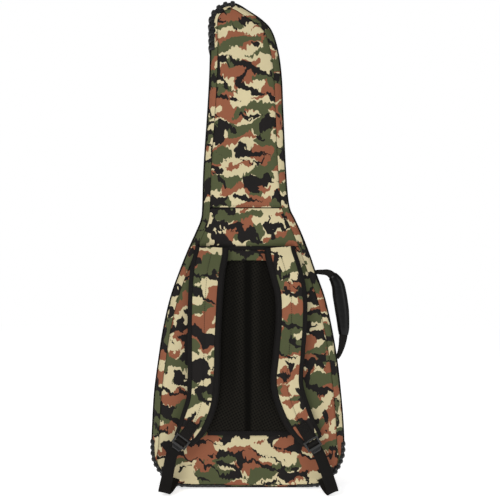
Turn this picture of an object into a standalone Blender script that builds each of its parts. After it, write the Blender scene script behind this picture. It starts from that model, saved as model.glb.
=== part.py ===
"""Padded gig bag for an electric guitar, standing upright on its base.

+Z runs up the bag, -Y is the side with the shoulder straps, +X is the side with the carry handle.
The rear half is a deep padded tray, the front half a shallow one that opens like a book.
"""
import math

import bmesh
import bpy
from mathutils import Matrix, Vector

# Driving dimensions, in metres
BACK_Y = -0.056            # outside of the back panel
ZIP_Y = 0.0346             # plane in which the two halves meet
FRONT_Y = 0.060            # outside of the front panel on the body
NECK_FRONT_Y = 0.055       # outside of the front panel along the neck
BASE_Z = 0.003             # underside of the fabric base, above the rubber guards
SKIN = 0.0015              # printed fabric
FOAM = 0.011               # padding
LINING = 0.0012            # plush lining
GAP = 0.0003               # between pieces that touch
ROLL = 0.016               # radius of the rolled edge round each panel
TAPE_DEPTH = 0.0042        # each half of the main zip, front to back
WEBBING = 0.025            # width of all webbing
WEB_THICK = 0.0022
HANDLE_WEBBING = 0.022
STRAP_THICK = 0.011
HINGE_X = -0.2095           # the front half turns on the gusset's left side
YOKE_LOW, YOKE_HIGH = 0.5300, 0.6130
STRAP_TOP = 0.5265         # where the shoulder straps are sewn in
PAD_Y = BACK_Y - GAP       # outer pieces start here
# The frame's origin is the middle of the whole object's base
SHIFT = Vector((-0.0077, -0.0010, 0.0))

# Outline of the bag seen from the strap side: half widths (right, left) at heights up the body and neck
STATIONS = [
    (0.085, 0.2085, -0.2090), (0.145, 0.2065, -0.2070), (0.210, 0.2010, -0.2030), (0.280, 0.1930, -0.1940),
    (0.350, 0.1810, -0.1830), (0.415, 0.1660, -0.1680), (0.470, 0.1465, -0.1490), (0.520, 0.1290, -0.1290),
    (0.560, 0.1130, -0.1110), (0.588, 0.1000, -0.1000), (0.620, 0.0870, -0.0970), (0.700, 0.0800, -0.0945),
    (0.820, 0.0745, -0.0865), (0.900, 0.0710, -0.0820), (0.957, 0.0635, -0.0805), (1.000, 0.0500, -0.0810),
]
BASE_RIGHT = [(0.045, BASE_Z), (0.105, BASE_Z), (0.140, 0.0040), (0.167, 0.0105), (0.190, 0.0330), (0.204, 0.0600)]
BASE_LEFT = [(-0.204, 0.0550), (-0.187, 0.0290), (-0.163, 0.0100), (-0.136, 0.0040), (-0.100, BASE_Z), (-0.040, BASE_Z)]
HEADSTOCK = [(0.031, 1.0225), (0.001, 1.0435), (-0.028, 1.0600), (-0.053, 1.0580), (-0.072, 1.0440), (-0.0805, 1.0250)]

COLOURS = {
    "printed_polyester": ((0.22, 0.19, 0.11), 0.85, 0.0),
    "black_webbing": ((0.018, 0.017, 0.015), 0.75, 0.0),
    "air_mesh": ((0.010, 0.009, 0.008), 0.90, 0.0),
    "black_rubber": ((0.012, 0.012, 0.012), 0.60, 0.0),
    "acetal": ((0.015, 0.015, 0.015), 0.30, 0.0),
    "foam": ((0.20, 0.20, 0.20), 0.95, 0.0),
    "plush": ((0.05, 0.05, 0.055), 0.95, 0.0),
    "zip_tape": ((0.015, 0.015, 0.015), 0.80, 0.0),
    "zip_metal": ((0.05, 0.05, 0.05), 0.35, 1.0),
}

for old in list(bpy.data.objects):
    bpy.data.objects.remove(old, do_unlink=True)

bag = bpy.data.objects.new("bag_frame", None)
bag.location = SHIFT
bpy.context.collection.objects.link(bag)


def finish_for(name):
    """The shared material of one finish."""
    material = bpy.data.materials.get(name)
    if material is None:
        colour, roughness, metallic = COLOURS[name]
        material = bpy.data.materials.new(name)
        material.use_nodes = True
        shader = material.node_tree.nodes["Principled BSDF"]
        shader.inputs["Base Color"].default_value = (*colour, 1.0)
        shader.inputs["Roughness"].default_value = roughness
        shader.inputs["Metallic"].default_value = metallic
    return material


PLACES = {}


def pivot_place(empty):
    """Where an empty stands in the bag's own frame."""
    return PLACES.get(empty.name, Vector((0, 0, 0)))


def pivot(name, place, parent=None):
    """An empty on a joint's axis, which the joint's pieces hang from."""
    empty = bpy.data.objects.new(name, None)
    bpy.context.collection.objects.link(empty)
    empty.parent = parent or bag
    empty.location = Vector(place) - pivot_place(empty.parent)
    PLACES[name] = Vector(place)
    return empty


def add(name, mesh, finish, parent=None, smooth=True):
    """One named piece, from a bmesh in the bag's own frame."""
    parent = parent or bag
    bmesh.ops.recalc_face_normals(mesh, faces=mesh.faces)
    if mesh.calc_volume(signed=True) < 0:
        bmesh.ops.reverse_faces(mesh, faces=mesh.faces)
    bmesh.ops.translate(mesh, verts=mesh.verts, vec=-pivot_place(parent))
    data = bpy.data.meshes.new(name)
    mesh.to_mesh(data)
    mesh.free()
    if smooth:
        data.shade_smooth()
        data.set_sharp_from_angle(angle=math.radians(40))
    data.materials.append(finish_for(finish))
    piece = bpy.data.objects.new(name, data)
    bpy.context.collection.objects.link(piece)
    piece.parent = parent
    return piece


def smooth_curve(points, steps, closed=False):
    """Catmull-Rom curve through points of any dimension, with so many steps to each span."""
    count = len(points)
    spans = count if closed else count - 1
    curve = []
    for i in range(spans):
        if closed:
            a, b, c, d = (Vector(points[(i + k) % count]) for k in (-1, 0, 1, 2))
        else:
            b, c = Vector(points[i]), Vector(points[i + 1])
            a = Vector(points[i - 1]) if i else b * 2 - c
            d = Vector(points[i + 2]) if i + 2 < count else c * 2 - b
        for step in range(steps):
            t = step / steps
            curve.append(0.5 * (2 * b + (c - a) * t + (2 * a - 5 * b + 4 * c - d) * t * t
                                + (3 * b - a - 3 * c + d) * t ** 3))
    if not closed:
        curve.append(Vector(points[-1]))
    return curve


def bag_outline():
    """The closed outline in X and Z, anticlockwise seen from the strap side, from the base's middle."""
    right = [(x, z) for z, x, _ in STATIONS]
    left = [(x, z) for z, _, x in reversed(STATIONS)]
    return smooth_curve([*BASE_RIGHT, *right, *HEADSTOCK, *left, *BASE_LEFT], 1, closed=True)


OUTLINE = bag_outline()


def normals_of(points):
    """Outward normals of a closed anticlockwise outline."""
    count = len(points)
    found = []
    for i in range(count):
        along = (points[(i + 1) % count] - points[i - 1]).normalized()
        found.append(Vector((along.y, -along.x)))
    return found


OUTWARD = normals_of(OUTLINE)


def inset_outline(inset):
    return [p - n * inset for p, n in zip(OUTLINE, OUTWARD)]


def edge_run(start, end, steps=4):
    """Points and normals along the outline from one height or place to the next, as a finer curve."""
    fine = smooth_curve(OUTLINE, steps, closed=True)
    normals = normals_of(fine)
    first = min(range(len(fine)), key=lambda i: (fine[i] - Vector(start)).length)
    last = min(range(len(fine)), key=lambda i: (fine[i] - Vector(end)).length)
    if last < first:
        last += len(fine)
    return [(fine[i % len(fine)], normals[i % len(fine)]) for i in range(first, last + 1)]


def loft(rings, capped=True, closed=False):
    """A skin over rings of equal length; capped ends, or the last ring joined to the first."""
    mesh = bmesh.new()
    made = [[mesh.verts.new(p) for p in ring] for ring in rings]
    pairs = list(zip(made, made[1:]))
    if closed:
        pairs.append((made[-1], made[0]))
    count = len(made[0])
    for low, high in pairs:
        for i in range(count):
            j = (i + 1) % count
            mesh.faces.new((low[i], low[j], high[j], high[i]))
    if capped and not closed:
        mesh.faces.new(list(reversed(made[0])))
        mesh.faces.new(made[-1])
    return mesh


def neck_share(z):
    """0 on the body, 1 on the neck, with an even ramp between."""
    t = min(max((z - 0.50) / 0.14, 0.0), 1.0)
    return t * t * (3 - 2 * t)


REAR_RIM = ZIP_Y - GAP / 2 - TAPE_DEPTH - GAP
FRONT_RIM = ZIP_Y + GAP / 2 + TAPE_DEPTH + GAP


def front_level(y, z):
    """Where a depth of the front half comes to at a height: the front grows slimmer along the neck."""
    if y <= FRONT_RIM:
        return y
    slim = (NECK_FRONT_Y - FRONT_RIM) / (FRONT_Y - FRONT_RIM)
    return FRONT_RIM + (y - FRONT_RIM) * (1 + (slim - 1) * neck_share(z))


def tray(outer, inner):
    """A tray from (inset, depth) rings, its outside from the panel to the rim, then its inside back down.

    Both panels are ladders of quads between the outline's matching right and left points.
    """
    rings = []
    for inset, y in [*outer, *inner]:
        rings.append([(p.x, front_level(y, o.y), p.y) for p, o in zip(inset_outline(inset), OUTLINE)])
    mesh = loft(rings, capped=False)
    mesh.verts.ensure_lookup_table()
    count = len(OUTLINE)
    for first in (0, len(mesh.verts) - count):
        for i in range(count // 2 - 1):
            corners = (i, i + 1, count - 2 - i, count - 1 - i)
            mesh.faces.new([mesh.verts[first + k] for k in corners])
    return mesh


def half(panel_y, rim_y, depth, thick):
    """One layer of a padded half, from depth inside the bag's skin to depth + thick, round rolled edges."""
    way = 1 if rim_y > panel_y else -1

    def profile(inside):
        lean = ROLL - (ROLL - inside) * math.sqrt(0.5)
        return [(ROLL, panel_y + way * inside), (lean, panel_y + way * lean), (inside, panel_y + way * ROLL),
                (inside, rim_y)]

    return tray(profile(depth), reversed(profile(depth + thick)))


def rounded_plate(outline, y_low, y_high, edge):
    """A flat plate of a given X, Z outline whose edges are chamfered on the low side."""
    normals = normals_of(outline)
    rings = []
    for inset, y in ((edge, y_low), (0.0, y_low + edge * 0.8), (0.0, y_high)):
        rings.append([(p.x - n.x * inset, y, p.y - n.y * inset) for p, n in zip(outline, normals)])
    return loft(rings)


def ribbon(path, across, width, thick, crown=0.0):
    """A flat strip along a path; across gives its width direction, crown rounds its edges off."""
    count = len(path)
    widths = width if isinstance(width, list) else [width] * count
    thicks = thick if isinstance(thick, list) else [thick] * count
    rings = []
    for i in range(count):
        along = (path[min(i + 1, count - 1)] - path[max(i - 1, 0)]).normalized()
        side = across[i] if isinstance(across, list) else across
        side = (side - along * side.dot(along)).normalized()
        up = along.cross(side)
        w, t = widths[i] / 2, thicks[i] / 2
        flat = w - crown
        corners = [(-w, -t), (w, -t), (w, t), (-w, t)]
        if crown:
            corners = [(-flat, -t), (flat, -t), (w, -t * 0.4), (w, t * 0.4), (flat, t), (-flat, t),
                       (-w, t * 0.4), (-w, -t * 0.4)]
        rings.append([path[i] + side * a + up * b for a, b in corners])
    return loft(rings)


def box(low, high):
    """A plain rectangular block."""
    mesh = bmesh.new()
    bmesh.ops.create_cube(mesh, size=1.0)
    low, high = Vector(low), Vector(high)
    size = high - low
    bmesh.ops.scale(mesh, vec=size, verts=mesh.verts)
    bmesh.ops.translate(mesh, vec=(low + high) / 2, verts=mesh.verts)
    return mesh


def rail(run, out_low, out_high, y_low, y_high):
    """A strip laid on the outline: from out_low to out_high beyond it, over a depth in Y."""
    rings = []
    for point, normal in run:
        low, high = point + normal * out_low, point + normal * out_high
        rings.append([(low.x, y_low, low.y), (high.x, y_low, high.y), (high.x, y_high, high.y), (low.x, y_high, low.y)])
    return loft(rings)


def cord_ring(y, radius, sides=6):
    """A round cord all the way round the outline, just outside it."""
    rings = []
    for x, z in inset_outline(-radius * 0.2 - GAP):
        rings.append(Vector((x, 0, z)))
    made = []
    for i, centre in enumerate(rings):
        out = Vector((OUTWARD[i].x, 0, OUTWARD[i].y))
        level = front_level(y, OUTLINE[i].y)
        turn = []
        for k in range(sides):
            a = 2 * math.pi * k / sides
            turn.append(centre + out * (radius + math.cos(a) * radius) + Vector((0, level + math.sin(a) * radius, 0)))
        made.append(turn)
    return loft(made, capped=False, closed=True)


# ---------------------------------------------------------------- rear half
lid = pivot("lid_axis", (HINGE_X, ZIP_Y, 0.16))
FOAM_IN = SKIN + GAP
LINING_IN = FOAM_IN + FOAM + GAP

for side, panel, rim, parent in (("back", BACK_Y, REAR_RIM, bag), ("front", FRONT_Y, FRONT_RIM, lid)):
    add(f"{side}_shell", half(panel, rim, 0.0, SKIN), "printed_polyester", parent)
    add(f"{side}_foam", half(panel, rim, FOAM_IN, FOAM), "foam", parent)
    add(f"{side}_lining", half(panel, rim, LINING_IN, LINING), "plush", parent)
PIPING_RADIUS = 0.0012
add("back_piping", cord_ring(BACK_Y + ROLL, PIPING_RADIUS), "black_webbing")
add("front_piping", cord_ring(FRONT_Y - ROLL * 0.75, PIPING_RADIUS), "black_webbing", lid)

# Main zip: up the handle side, over the headstock and down to the hinge stretch
zip_run = edge_run((-0.196, 0.044), (-0.1975, 0.262), 1)
add("rear_zip_tape", rail(zip_run, -0.004, -0.0025, REAR_RIM + GAP, ZIP_Y - GAP / 2), "zip_tape")
add("front_zip_tape", rail(zip_run, -0.004, -0.0025, ZIP_Y + GAP / 2, FRONT_RIM - GAP), "zip_tape", lid)
hinge_run = edge_run((-0.1985, 0.245), (-0.205, 0.070), 2)
add("hinge_strip", rail(hinge_run, -0.004, -0.0025, REAR_RIM + GAP, FRONT_RIM - GAP), "black_webbing")

# ---------------------------------------------------------------- back panel


def panel_width(z, side):
    """X of the panel's seam at a height, on the right (1) or left (-1)."""
    inner = inset_outline(ROLL + 0.002)
    best = [p for p in inner if p.x * side > 0.01]
    best.sort(key=lambda p: p.y)
    for a, b in zip(best, best[1:]):
        if a.y <= z <= b.y:
            return a.x + (b.x - a.x) * (z - a.y) / (b.y - a.y)
    return best[-1].x


yoke = []
YOKE_STEPS = 5
for k in range(YOKE_STEPS):
    level = YOKE_LOW + (YOKE_HIGH - YOKE_LOW) * k / (YOKE_STEPS - 1)
    yoke.append(Vector((panel_width(level, 1), level)))
for k in reversed(range(YOKE_STEPS)):
    level = YOKE_LOW + (YOKE_HIGH - YOKE_LOW) * k / (YOKE_STEPS - 1)
    yoke.append(Vector((panel_width(level, -1), level)))
YOKE_THICK = 0.0016
BAND_THICK, BAND_HEIGHT = 0.0020, 0.0079
BAND_TOP = YOKE_LOW - 2 * GAP
add("yoke_panel", rounded_plate(yoke, PAD_Y - YOKE_THICK, PAD_Y, 0.0006), "printed_polyester")
strap_band = box((-0.112, PAD_Y - BAND_THICK, BAND_TOP - BAND_HEIGHT), (0.100, PAD_Y, BAND_TOP))
add("strap_band", strap_band, "black_webbing")

PAD_HALF = [(0.040, 0.4970), (0.072, 0.440), (0.090, 0.330), (0.0945, 0.215), (0.0950, 0.1285)]
pad = smooth_curve([(0.0, 0.4985), *PAD_HALF], 2)
pad_outline = [Vector((-x, z)) for x, z in reversed(pad[1:])] + pad
pad_outline.reverse()
PAD_THICK, PAD_EDGE = 0.0075, 0.004
BINDING_LOW, BINDING_HIGH, BINDING_THICK = 0.1175, 0.1275, 0.0035
add("back_pad", rounded_plate(pad_outline, PAD_Y - PAD_THICK, PAD_Y, PAD_EDGE), "air_mesh")
pad_binding = box((-0.086, PAD_Y - BINDING_THICK, BINDING_LOW), (0.091, PAD_Y, BINDING_HIGH))
add("pad_binding", pad_binding, "black_webbing")

# ---------------------------------------------------------------- rubber guards


def guard(name, start, end, pitch, y_low, y_high):
    """A rubber strip with square ribs, bent round the outline."""
    run = edge_run(start, end, 6)
    length = [0.0]
    for (a, _), (b, _) in zip(run, run[1:]):
        length.append(length[-1] + (b - a).length)
    ribs = round(length[-1] / pitch)
    step = length[-1] / ribs

    def at(distance):
        for i in range(len(run) - 1):
            if length[i + 1] >= distance or i == len(run) - 2:
                t = (distance - length[i]) / (length[i + 1] - length[i])
                return run[i][0].lerp(run[i + 1][0], t), run[i][1].lerp(run[i + 1][1], t)

    places = []
    for k in range(ribs):
        for share, height in ((0.0, RIB_FOOT), (0.18, RIB_HEIGHT), (0.62, RIB_HEIGHT), (0.8, RIB_FOOT)):
            places.append((*at((k + share) * step), height))
    rings = []
    for point, normal, height in places:
        low, high = point + normal * GAP, point + normal * height
        rings.append([(low.x, y_low, low.y), (high.x, y_low, high.y), (high.x, y_high, high.y), (low.x, y_high, low.y)])
    return add(name, loft(rings), "black_rubber", smooth=False)


RIB_FOOT, RIB_HEIGHT = 0.0014, 0.0030   # how far the guard stands off the fabric, between ribs and on them
GUARD_LOW, GUARD_HIGH = BACK_Y + ROLL + 0.006, 0.018
guard("headstock_bumper", (-0.024, 1.0605), (-0.0805, 0.957), 0.0150, GUARD_LOW, GUARD_HIGH)
guard("base_bumper_left", (-0.2088, 0.107), (-0.050, BASE_Z), 0.0165, GUARD_LOW, GUARD_HIGH)
guard("base_bumper_right", (0.105, BASE_Z), (0.2085, 0.100), 0.0165, GUARD_LOW, GUARD_HIGH)

# ---------------------------------------------------------------- inside the rear half
INSIDE_Y = BACK_Y + LINING_IN + LINING + GAP
CRADLE_LOW, CRADLE_HIGH = 0.700, 0.758
CRADLE_LEFT, CRADLE_RIGHT = -0.060, 0.046
CRADLE_TOP = 0.004          # the two side pads reach this far forward
CRADLE_BED = INSIDE_Y + 0.016
SIDE_PAD = 0.020            # width of each side pad at its top
cradle = bmesh.new()
profile = [(CRADLE_LEFT, INSIDE_Y), (CRADLE_RIGHT, INSIDE_Y), (CRADLE_RIGHT, CRADLE_TOP),
           (CRADLE_RIGHT - SIDE_PAD, CRADLE_TOP), (CRADLE_RIGHT - SIDE_PAD - 0.002, CRADLE_BED),
           (CRADLE_LEFT + SIDE_PAD + 0.002, CRADLE_BED), (CRADLE_LEFT + SIDE_PAD, CRADLE_TOP),
           (CRADLE_LEFT, CRADLE_TOP)]
floor_ring = [cradle.verts.new((x, y, CRADLE_LOW)) for x, y in profile]
base_face = cradle.faces.new(floor_ring)
grown = bmesh.ops.extrude_face_region(cradle, geom=[base_face])
raised = [v for v in grown["geom"] if isinstance(v, bmesh.types.BMVert)]
bmesh.ops.translate(cradle, vec=(0, 0, CRADLE_HIGH - CRADLE_LOW), verts=raised)
add("neck_cradle", cradle, "foam", smooth=False)
neck_strap = box((CRADLE_LEFT + 0.002, CRADLE_TOP + GAP, 0.712), (CRADLE_RIGHT - 0.002, CRADLE_TOP + 0.0023, 0.746))
add("neck_strap", neck_strap, "black_webbing")
add("base_cushion", box((-0.085, INSIDE_Y + 0.0015, 0.0185), (0.085, 0.024, 0.040)), "foam")

# ---------------------------------------------------------------- shoulder straps
# Stations down each strap: X, Z, width
STRAPS = {
    "left": (-1, [(-0.0785, STRAP_TOP, 0.070), (-0.0800, 0.510, 0.072), (-0.0873, 0.476, 0.074), (-0.0922, 0.412, 0.073),
                  (-0.0946, 0.336, 0.070), (-0.0953, 0.259, 0.068), (-0.0992, 0.198, 0.066),
                  (-0.1165, 0.147, 0.061), (-0.1385, 0.109, 0.037)]),
    "right": (1, [(0.0690, STRAP_TOP, 0.064), (0.0712, 0.510, 0.066), (0.0815, 0.475, 0.068), (0.0928, 0.425, 0.067),
                  (0.0937, 0.360, 0.066), (0.0880, 0.290, 0.067), (0.0850, 0.225, 0.068),
                  (0.1090, 0.155, 0.062), (0.1375, 0.109, 0.037)]),
}
STRAP_Y = -0.0712          # middle of the strap's thickness where it lies on the pad
STRAP_TOP_Y = -0.0632
STRAP_TOP_THICK = 0.007    # where it is sewn in
SETTLE = 0.055             # length over which it comes up to its full thickness
STUB_LENGTH = 0.0225
LOCK_WIDTH, LOCK_LENGTH, LOCK_THICK = 0.034, 0.021, 0.0062
for side, (sign, stations) in STRAPS.items():
    hinge = pivot(f"strap_{side}_axis", (stations[0][0], BACK_Y - 0.003, STRAP_TOP))
    path, widths, thicks = [], [], []
    for x, z, width in smooth_curve(stations, 2):
        settle = min((STRAP_TOP - z) / SETTLE, 1.0)
        path.append(Vector((x, STRAP_TOP_Y + (STRAP_Y - STRAP_TOP_Y) * settle, z)))
        widths.append(width)
        thicks.append(STRAP_TOP_THICK + (STRAP_THICK - STRAP_TOP_THICK) * settle)
    add(f"strap_pad_{side}", ribbon(path, Vector((1, 0, 0)), widths, thicks, crown=0.008), "printed_polyester", hinge)
    # Webbing stub sewn on the pad's end, then the ladder-lock
    down = Vector((sign * 0.56, 0, -0.828)).normalized()
    cross = Vector((0.828, 0, sign * 0.56)).normalized()
    stub_top = Vector((sign * 0.1300, STRAP_Y - STRAP_THICK / 2 - 0.0016, 0.1265))
    stub = [stub_top, stub_top + down * STUB_LENGTH]
    add(f"strap_stub_{side}", ribbon(stub, cross, WEBBING, WEB_THICK), "black_webbing", hinge)
    lock_middle = stub_top + down * (STUB_LENGTH + LOCK_LENGTH / 2 + 0.0005) + Vector((0, 0.0025, 0))
    half_lock = down * (LOCK_LENGTH / 2)
    frame_mesh = ribbon([lock_middle - half_lock, lock_middle + half_lock], cross, LOCK_WIDTH, LOCK_THICK)
    add(f"ladder_lock_{side}", frame_mesh, "acetal", hinge, smooth=False)
    # Lower webbing from the ladder-lock to the base, then the short return sewn in the base seam
    lock_end = lock_middle + half_lock + down * 0.002
    turn_low = Vector((sign * 0.1830, -0.1000, 0.0036))
    lower = smooth_curve([lock_end, lock_end + down * 0.020 + Vector((0, -0.005, 0)),
                          Vector((sign * 0.1765, -0.0945, 0.030)), turn_low], 3)
    out = [Vector((1, 0, sign * 0.55)), Vector((1, 0, sign * 0.30)), Vector((1, 0, 0))]
    sides = [out[min(int(k / 4), 2)] for k in range(len(lower))]
    add(f"lower_webbing_{side}", ribbon(lower, sides, WEBBING, WEB_THICK), "black_webbing")
    back = smooth_curve([turn_low + Vector((0, 0.0055, -0.0005)), Vector((sign * 0.178, -0.080, 0.0040)),
                         Vector((sign * 0.172, BACK_Y - 0.0020, 0.0230))], 3)
    add(f"web_tab_{side}", ribbon(back, Vector((1, 0, 0)), WEBBING * 0.92, WEB_THICK), "black_webbing")

# ---------------------------------------------------------------- carry handle
HANDLE_Y = BACK_Y + 0.026
handle_points = [(0.1560, 0.4715), (0.1780, 0.4690), (0.1960, 0.4470), (0.2030, 0.4180), (0.2085, 0.3800),
                 (0.2110, 0.3450), (0.2095, 0.3230), (0.2055, 0.3030), (0.2005, 0.2890)]
upper, lower = Vector((0.1505, HANDLE_Y, 0.472)), Vector((0.1945, HANDLE_Y, 0.282))
handle = pivot("handle_axis", upper.lerp(lower, 0.5))
route = [Vector((x, HANDLE_Y, z)) for x, z in smooth_curve(handle_points, 3)]
flat = [Vector((-(b - a).z, 0, (b - a).x)) for a, b in zip(route, route[1:])]
flat.append(flat[-1])
# The webbing narrows as it turns edge-on and runs down into the lower tab
NARROW_FROM, NARROW_OVER, NARROW_BY = 0.335, 0.035, 0.012
handle_widths = []
for point in route:
    turned = min(max((NARROW_FROM - point.z) / NARROW_OVER, 0.0), 1.0)
    handle_widths.append(HANDLE_WEBBING - NARROW_BY * turned)
add("handle_webbing", ribbon(route, flat, handle_widths, 0.003), "black_webbing", handle)
GRIP_FIRST, GRIP_LAST = 6, 17   # the stretch of the route that the grip covers
GRIP_OUTER, GRIP_BORE = (0.0330, 0.0160), (0.0275, 0.0060)


def sleeve(path, across, outer, inner):
    """A padded tube round flat webbing: outer and inner are (width, thickness)."""
    def ring(i, width, thick, sides=10):
        along = (path[min(i + 1, len(path) - 1)] - path[max(i - 1, 0)]).normalized()
        side = (across[i] - along * across[i].dot(along)).normalized()
        up = along.cross(side)
        points = []
        for k in range(sides):
            a = 2 * math.pi * (k + 0.5) / sides
            c, s = math.cos(a), math.sin(a)
            reach = 1 / (abs(c) ** 4 + abs(s) ** 4) ** 0.25
            points.append(path[i] + side * (width / 2 * c * reach) + up * (thick / 2 * s * reach))
        return points
    count = len(path)
    outside = [ring(i, *outer) for i in range(count)]
    inside = [ring(i, *inner) for i in reversed(range(count))]
    return loft([*outside, *inside], capped=False, closed=True)


grip = sleeve(route[GRIP_FIRST:GRIP_LAST], flat[GRIP_FIRST:GRIP_LAST], GRIP_OUTER, GRIP_BORE)
add("handle_grip", grip, "black_rubber", handle)
for name, place, width in (("handle_tab_upper", (0.1460, 0.4715), WEBBING), ("handle_tab_lower", (0.1928, 0.2820), 0.012)):
    point, normal = edge_run(place, place, 8)[0]
    out = Vector((normal.x, 0, normal.y))
    seam = Vector((point.x, HANDLE_Y, point.y))
    tab = [seam + out * 0.0012, seam + out * 0.0042]
    add(name, ribbon(tab, Vector((-out.z, 0, out.x)), width, 0.004), "black_webbing")


# ---------------------------------------------------------------- main zip sliders


def edge_x(z):
    """X of the outline on the handle side."""
    right = [p for p in OUTLINE if p.x > 0 and 0.05 < p.y < 0.4]
    right.sort(key=lambda p: p.y)
    for a, b in zip(right, right[1:]):
        if a.y <= z <= b.y:
            return a.x + (b.x - a.x) * (z - a.y) / (b.y - a.y)
    return right[-1].x


def slider_body(middle, size):
    """A zip slider: a small body with its edges rounded."""
    mesh = box(middle - size / 2, middle + size / 2)
    bmesh.ops.bevel(mesh, geom=list(mesh.edges), offset=0.0008, segments=1, affect="EDGES")
    return mesh


PULL_LENGTH, PULL_ABOVE = 0.032, 0.0008   # below and above the pin that it swings on
PULL_THICK, PULL_WIDTH = 0.0020, 0.0070
PULL_OUT = 0.0086          # the main pulls hang this far off the edge, clear of the other slider
for level, name, offset in ((0.1720, "upper", 0.004), (0.1580, "lower", -0.004)):
    out = edge_x(level) + 0.0008
    middle = Vector((out + 0.002, ZIP_Y, level))
    slide = pivot(f"main_slider_{name}_axis", middle)
    size = Vector((0.004, 0.0100, 0.0120))
    add(f"main_slider_{name}", slider_body(middle, size), "zip_metal", slide, smooth=False)
    swing_place = Vector((out + PULL_OUT, ZIP_Y + offset, level + 0.002))
    swing = pivot(f"main_pull_{name}_axis", swing_place, slide)
    low = swing_place - Vector((PULL_THICK / 2, PULL_WIDTH / 2, PULL_LENGTH))
    high = swing_place + Vector((PULL_THICK / 2, PULL_WIDTH / 2, PULL_ABOVE))
    add(f"main_pull_{name}", box(low, high), "black_rubber", swing, smooth=False)

# ---------------------------------------------------------------- pockets on the front
POCKET_SKIN = 0.0015
POCKET_GAP = 0.0006        # between the front panel and a pocket's open back


def pocket(name, outline, depth):
    """An open-backed pocket sewn on the front panel: gusset, rolled edge and face."""
    normals = normals_of(outline)
    base = FRONT_Y + POCKET_GAP
    levels = [(0.0, base), (0.0, base + depth - 0.010), (0.0035, base + depth - 0.003), (0.012, base + depth)]
    inner = [(0.012, base + depth - POCKET_SKIN), (0.005, base + depth - 0.0045),
             (POCKET_SKIN, base + depth - 0.0105), (POCKET_SKIN, base)]
    rings = []
    for inset, y in [*inner, *levels]:
        rings.append([(p.x - n.x * inset, y, p.y - n.y * inset) for p, n in zip(outline, normals)])
    return add(name, loft(rings), "printed_polyester", lid)


def rounded_corners(corners, radius, steps=4):
    """A closed outline through corners, each turned into an arc of the same radius."""
    outline = []
    count = len(corners)
    for i in range(count):
        before, here, after = (Vector(corners[(i + k) % count]) for k in (-1, 0, 1))
        inward, onward = (before - here).normalized(), (after - here).normalized()
        half_turn = inward.angle(onward) / 2
        middle = here + (inward + onward).normalized() * radius / math.sin(half_turn)
        start = here + inward * radius / math.tan(half_turn) - middle
        sweep = start.angle_signed(here + onward * radius / math.tan(half_turn) - middle)
        for step in range(steps + 1):
            turn = Matrix.Rotation(-sweep * step / steps, 2)
            outline.append(middle + turn @ start)
    return outline


POCKET_CORNER = 0.022
body_outline = rounded_corners([(-0.158, 0.042), (0.158, 0.042), (0.158, 0.190), (0.139, 0.330), (-0.139, 0.330),
                                (-0.158, 0.190)], POCKET_CORNER)
BODY_POCKET_DEPTH, ACCESSORY_DEPTH = 0.034, 0.022
pocket("body_pocket", body_outline, BODY_POCKET_DEPTH)
upper_outline = rounded_corners([(-0.124, 0.352), (0.124, 0.352), (0.088, 0.484), (-0.088, 0.484)], POCKET_CORNER)
pocket("accessory_pocket", upper_outline, ACCESSORY_DEPTH)

POCKET_TAPE, TAPE_THICK = 0.024, 0.0016   # width and thickness of a pocket's zip tape
for name, node, reach, level, depth in (
    ("body_pocket", "body_pocket_zip", 0.112, 0.300, BODY_POCKET_DEPTH),
    ("accessory", "accessory_pocket_zip", 0.072, 0.452, ACCESSORY_DEPTH),
):
    face = FRONT_Y + POCKET_GAP + depth + GAP
    tape = box((-reach, face, level - POCKET_TAPE / 2), (reach, face + TAPE_THICK, level + POCKET_TAPE / 2))
    add(node, tape, "zip_tape", lid)
    middle = Vector((-reach + 0.012, face + 0.0042, level))
    slide = pivot(f"{name}_slider_axis", middle, lid)
    size = Vector((0.0120, 0.0040, 0.0100))
    add(f"{name}_slider", slider_body(middle, size), "zip_metal", slide, smooth=False)
    swing_place = middle + Vector((0.0, 0.0036, 0.002))
    swing = pivot(f"{name}_pull_axis", swing_place, slide)
    low = swing_place - Vector((PULL_WIDTH / 2, PULL_THICK / 2, PULL_LENGTH))
    high = swing_place + Vector((PULL_WIDTH / 2, PULL_THICK / 2, PULL_ABOVE))
    add(f"{name}_pull", box(low, high), "black_rubber", swing, smooth=False)
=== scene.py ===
"""Looks of the padded gig bag: cloth, padding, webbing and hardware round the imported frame.

The bag stands upright. +Z runs up it, -Y is the side with the shoulder straps, +X the carry handle's side.
"""
import math

import bmesh
import bpy
import numpy as np
from mathutils import Matrix, Vector, noise
from mathutils.geometry import delaunay_2d_cdt


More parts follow.
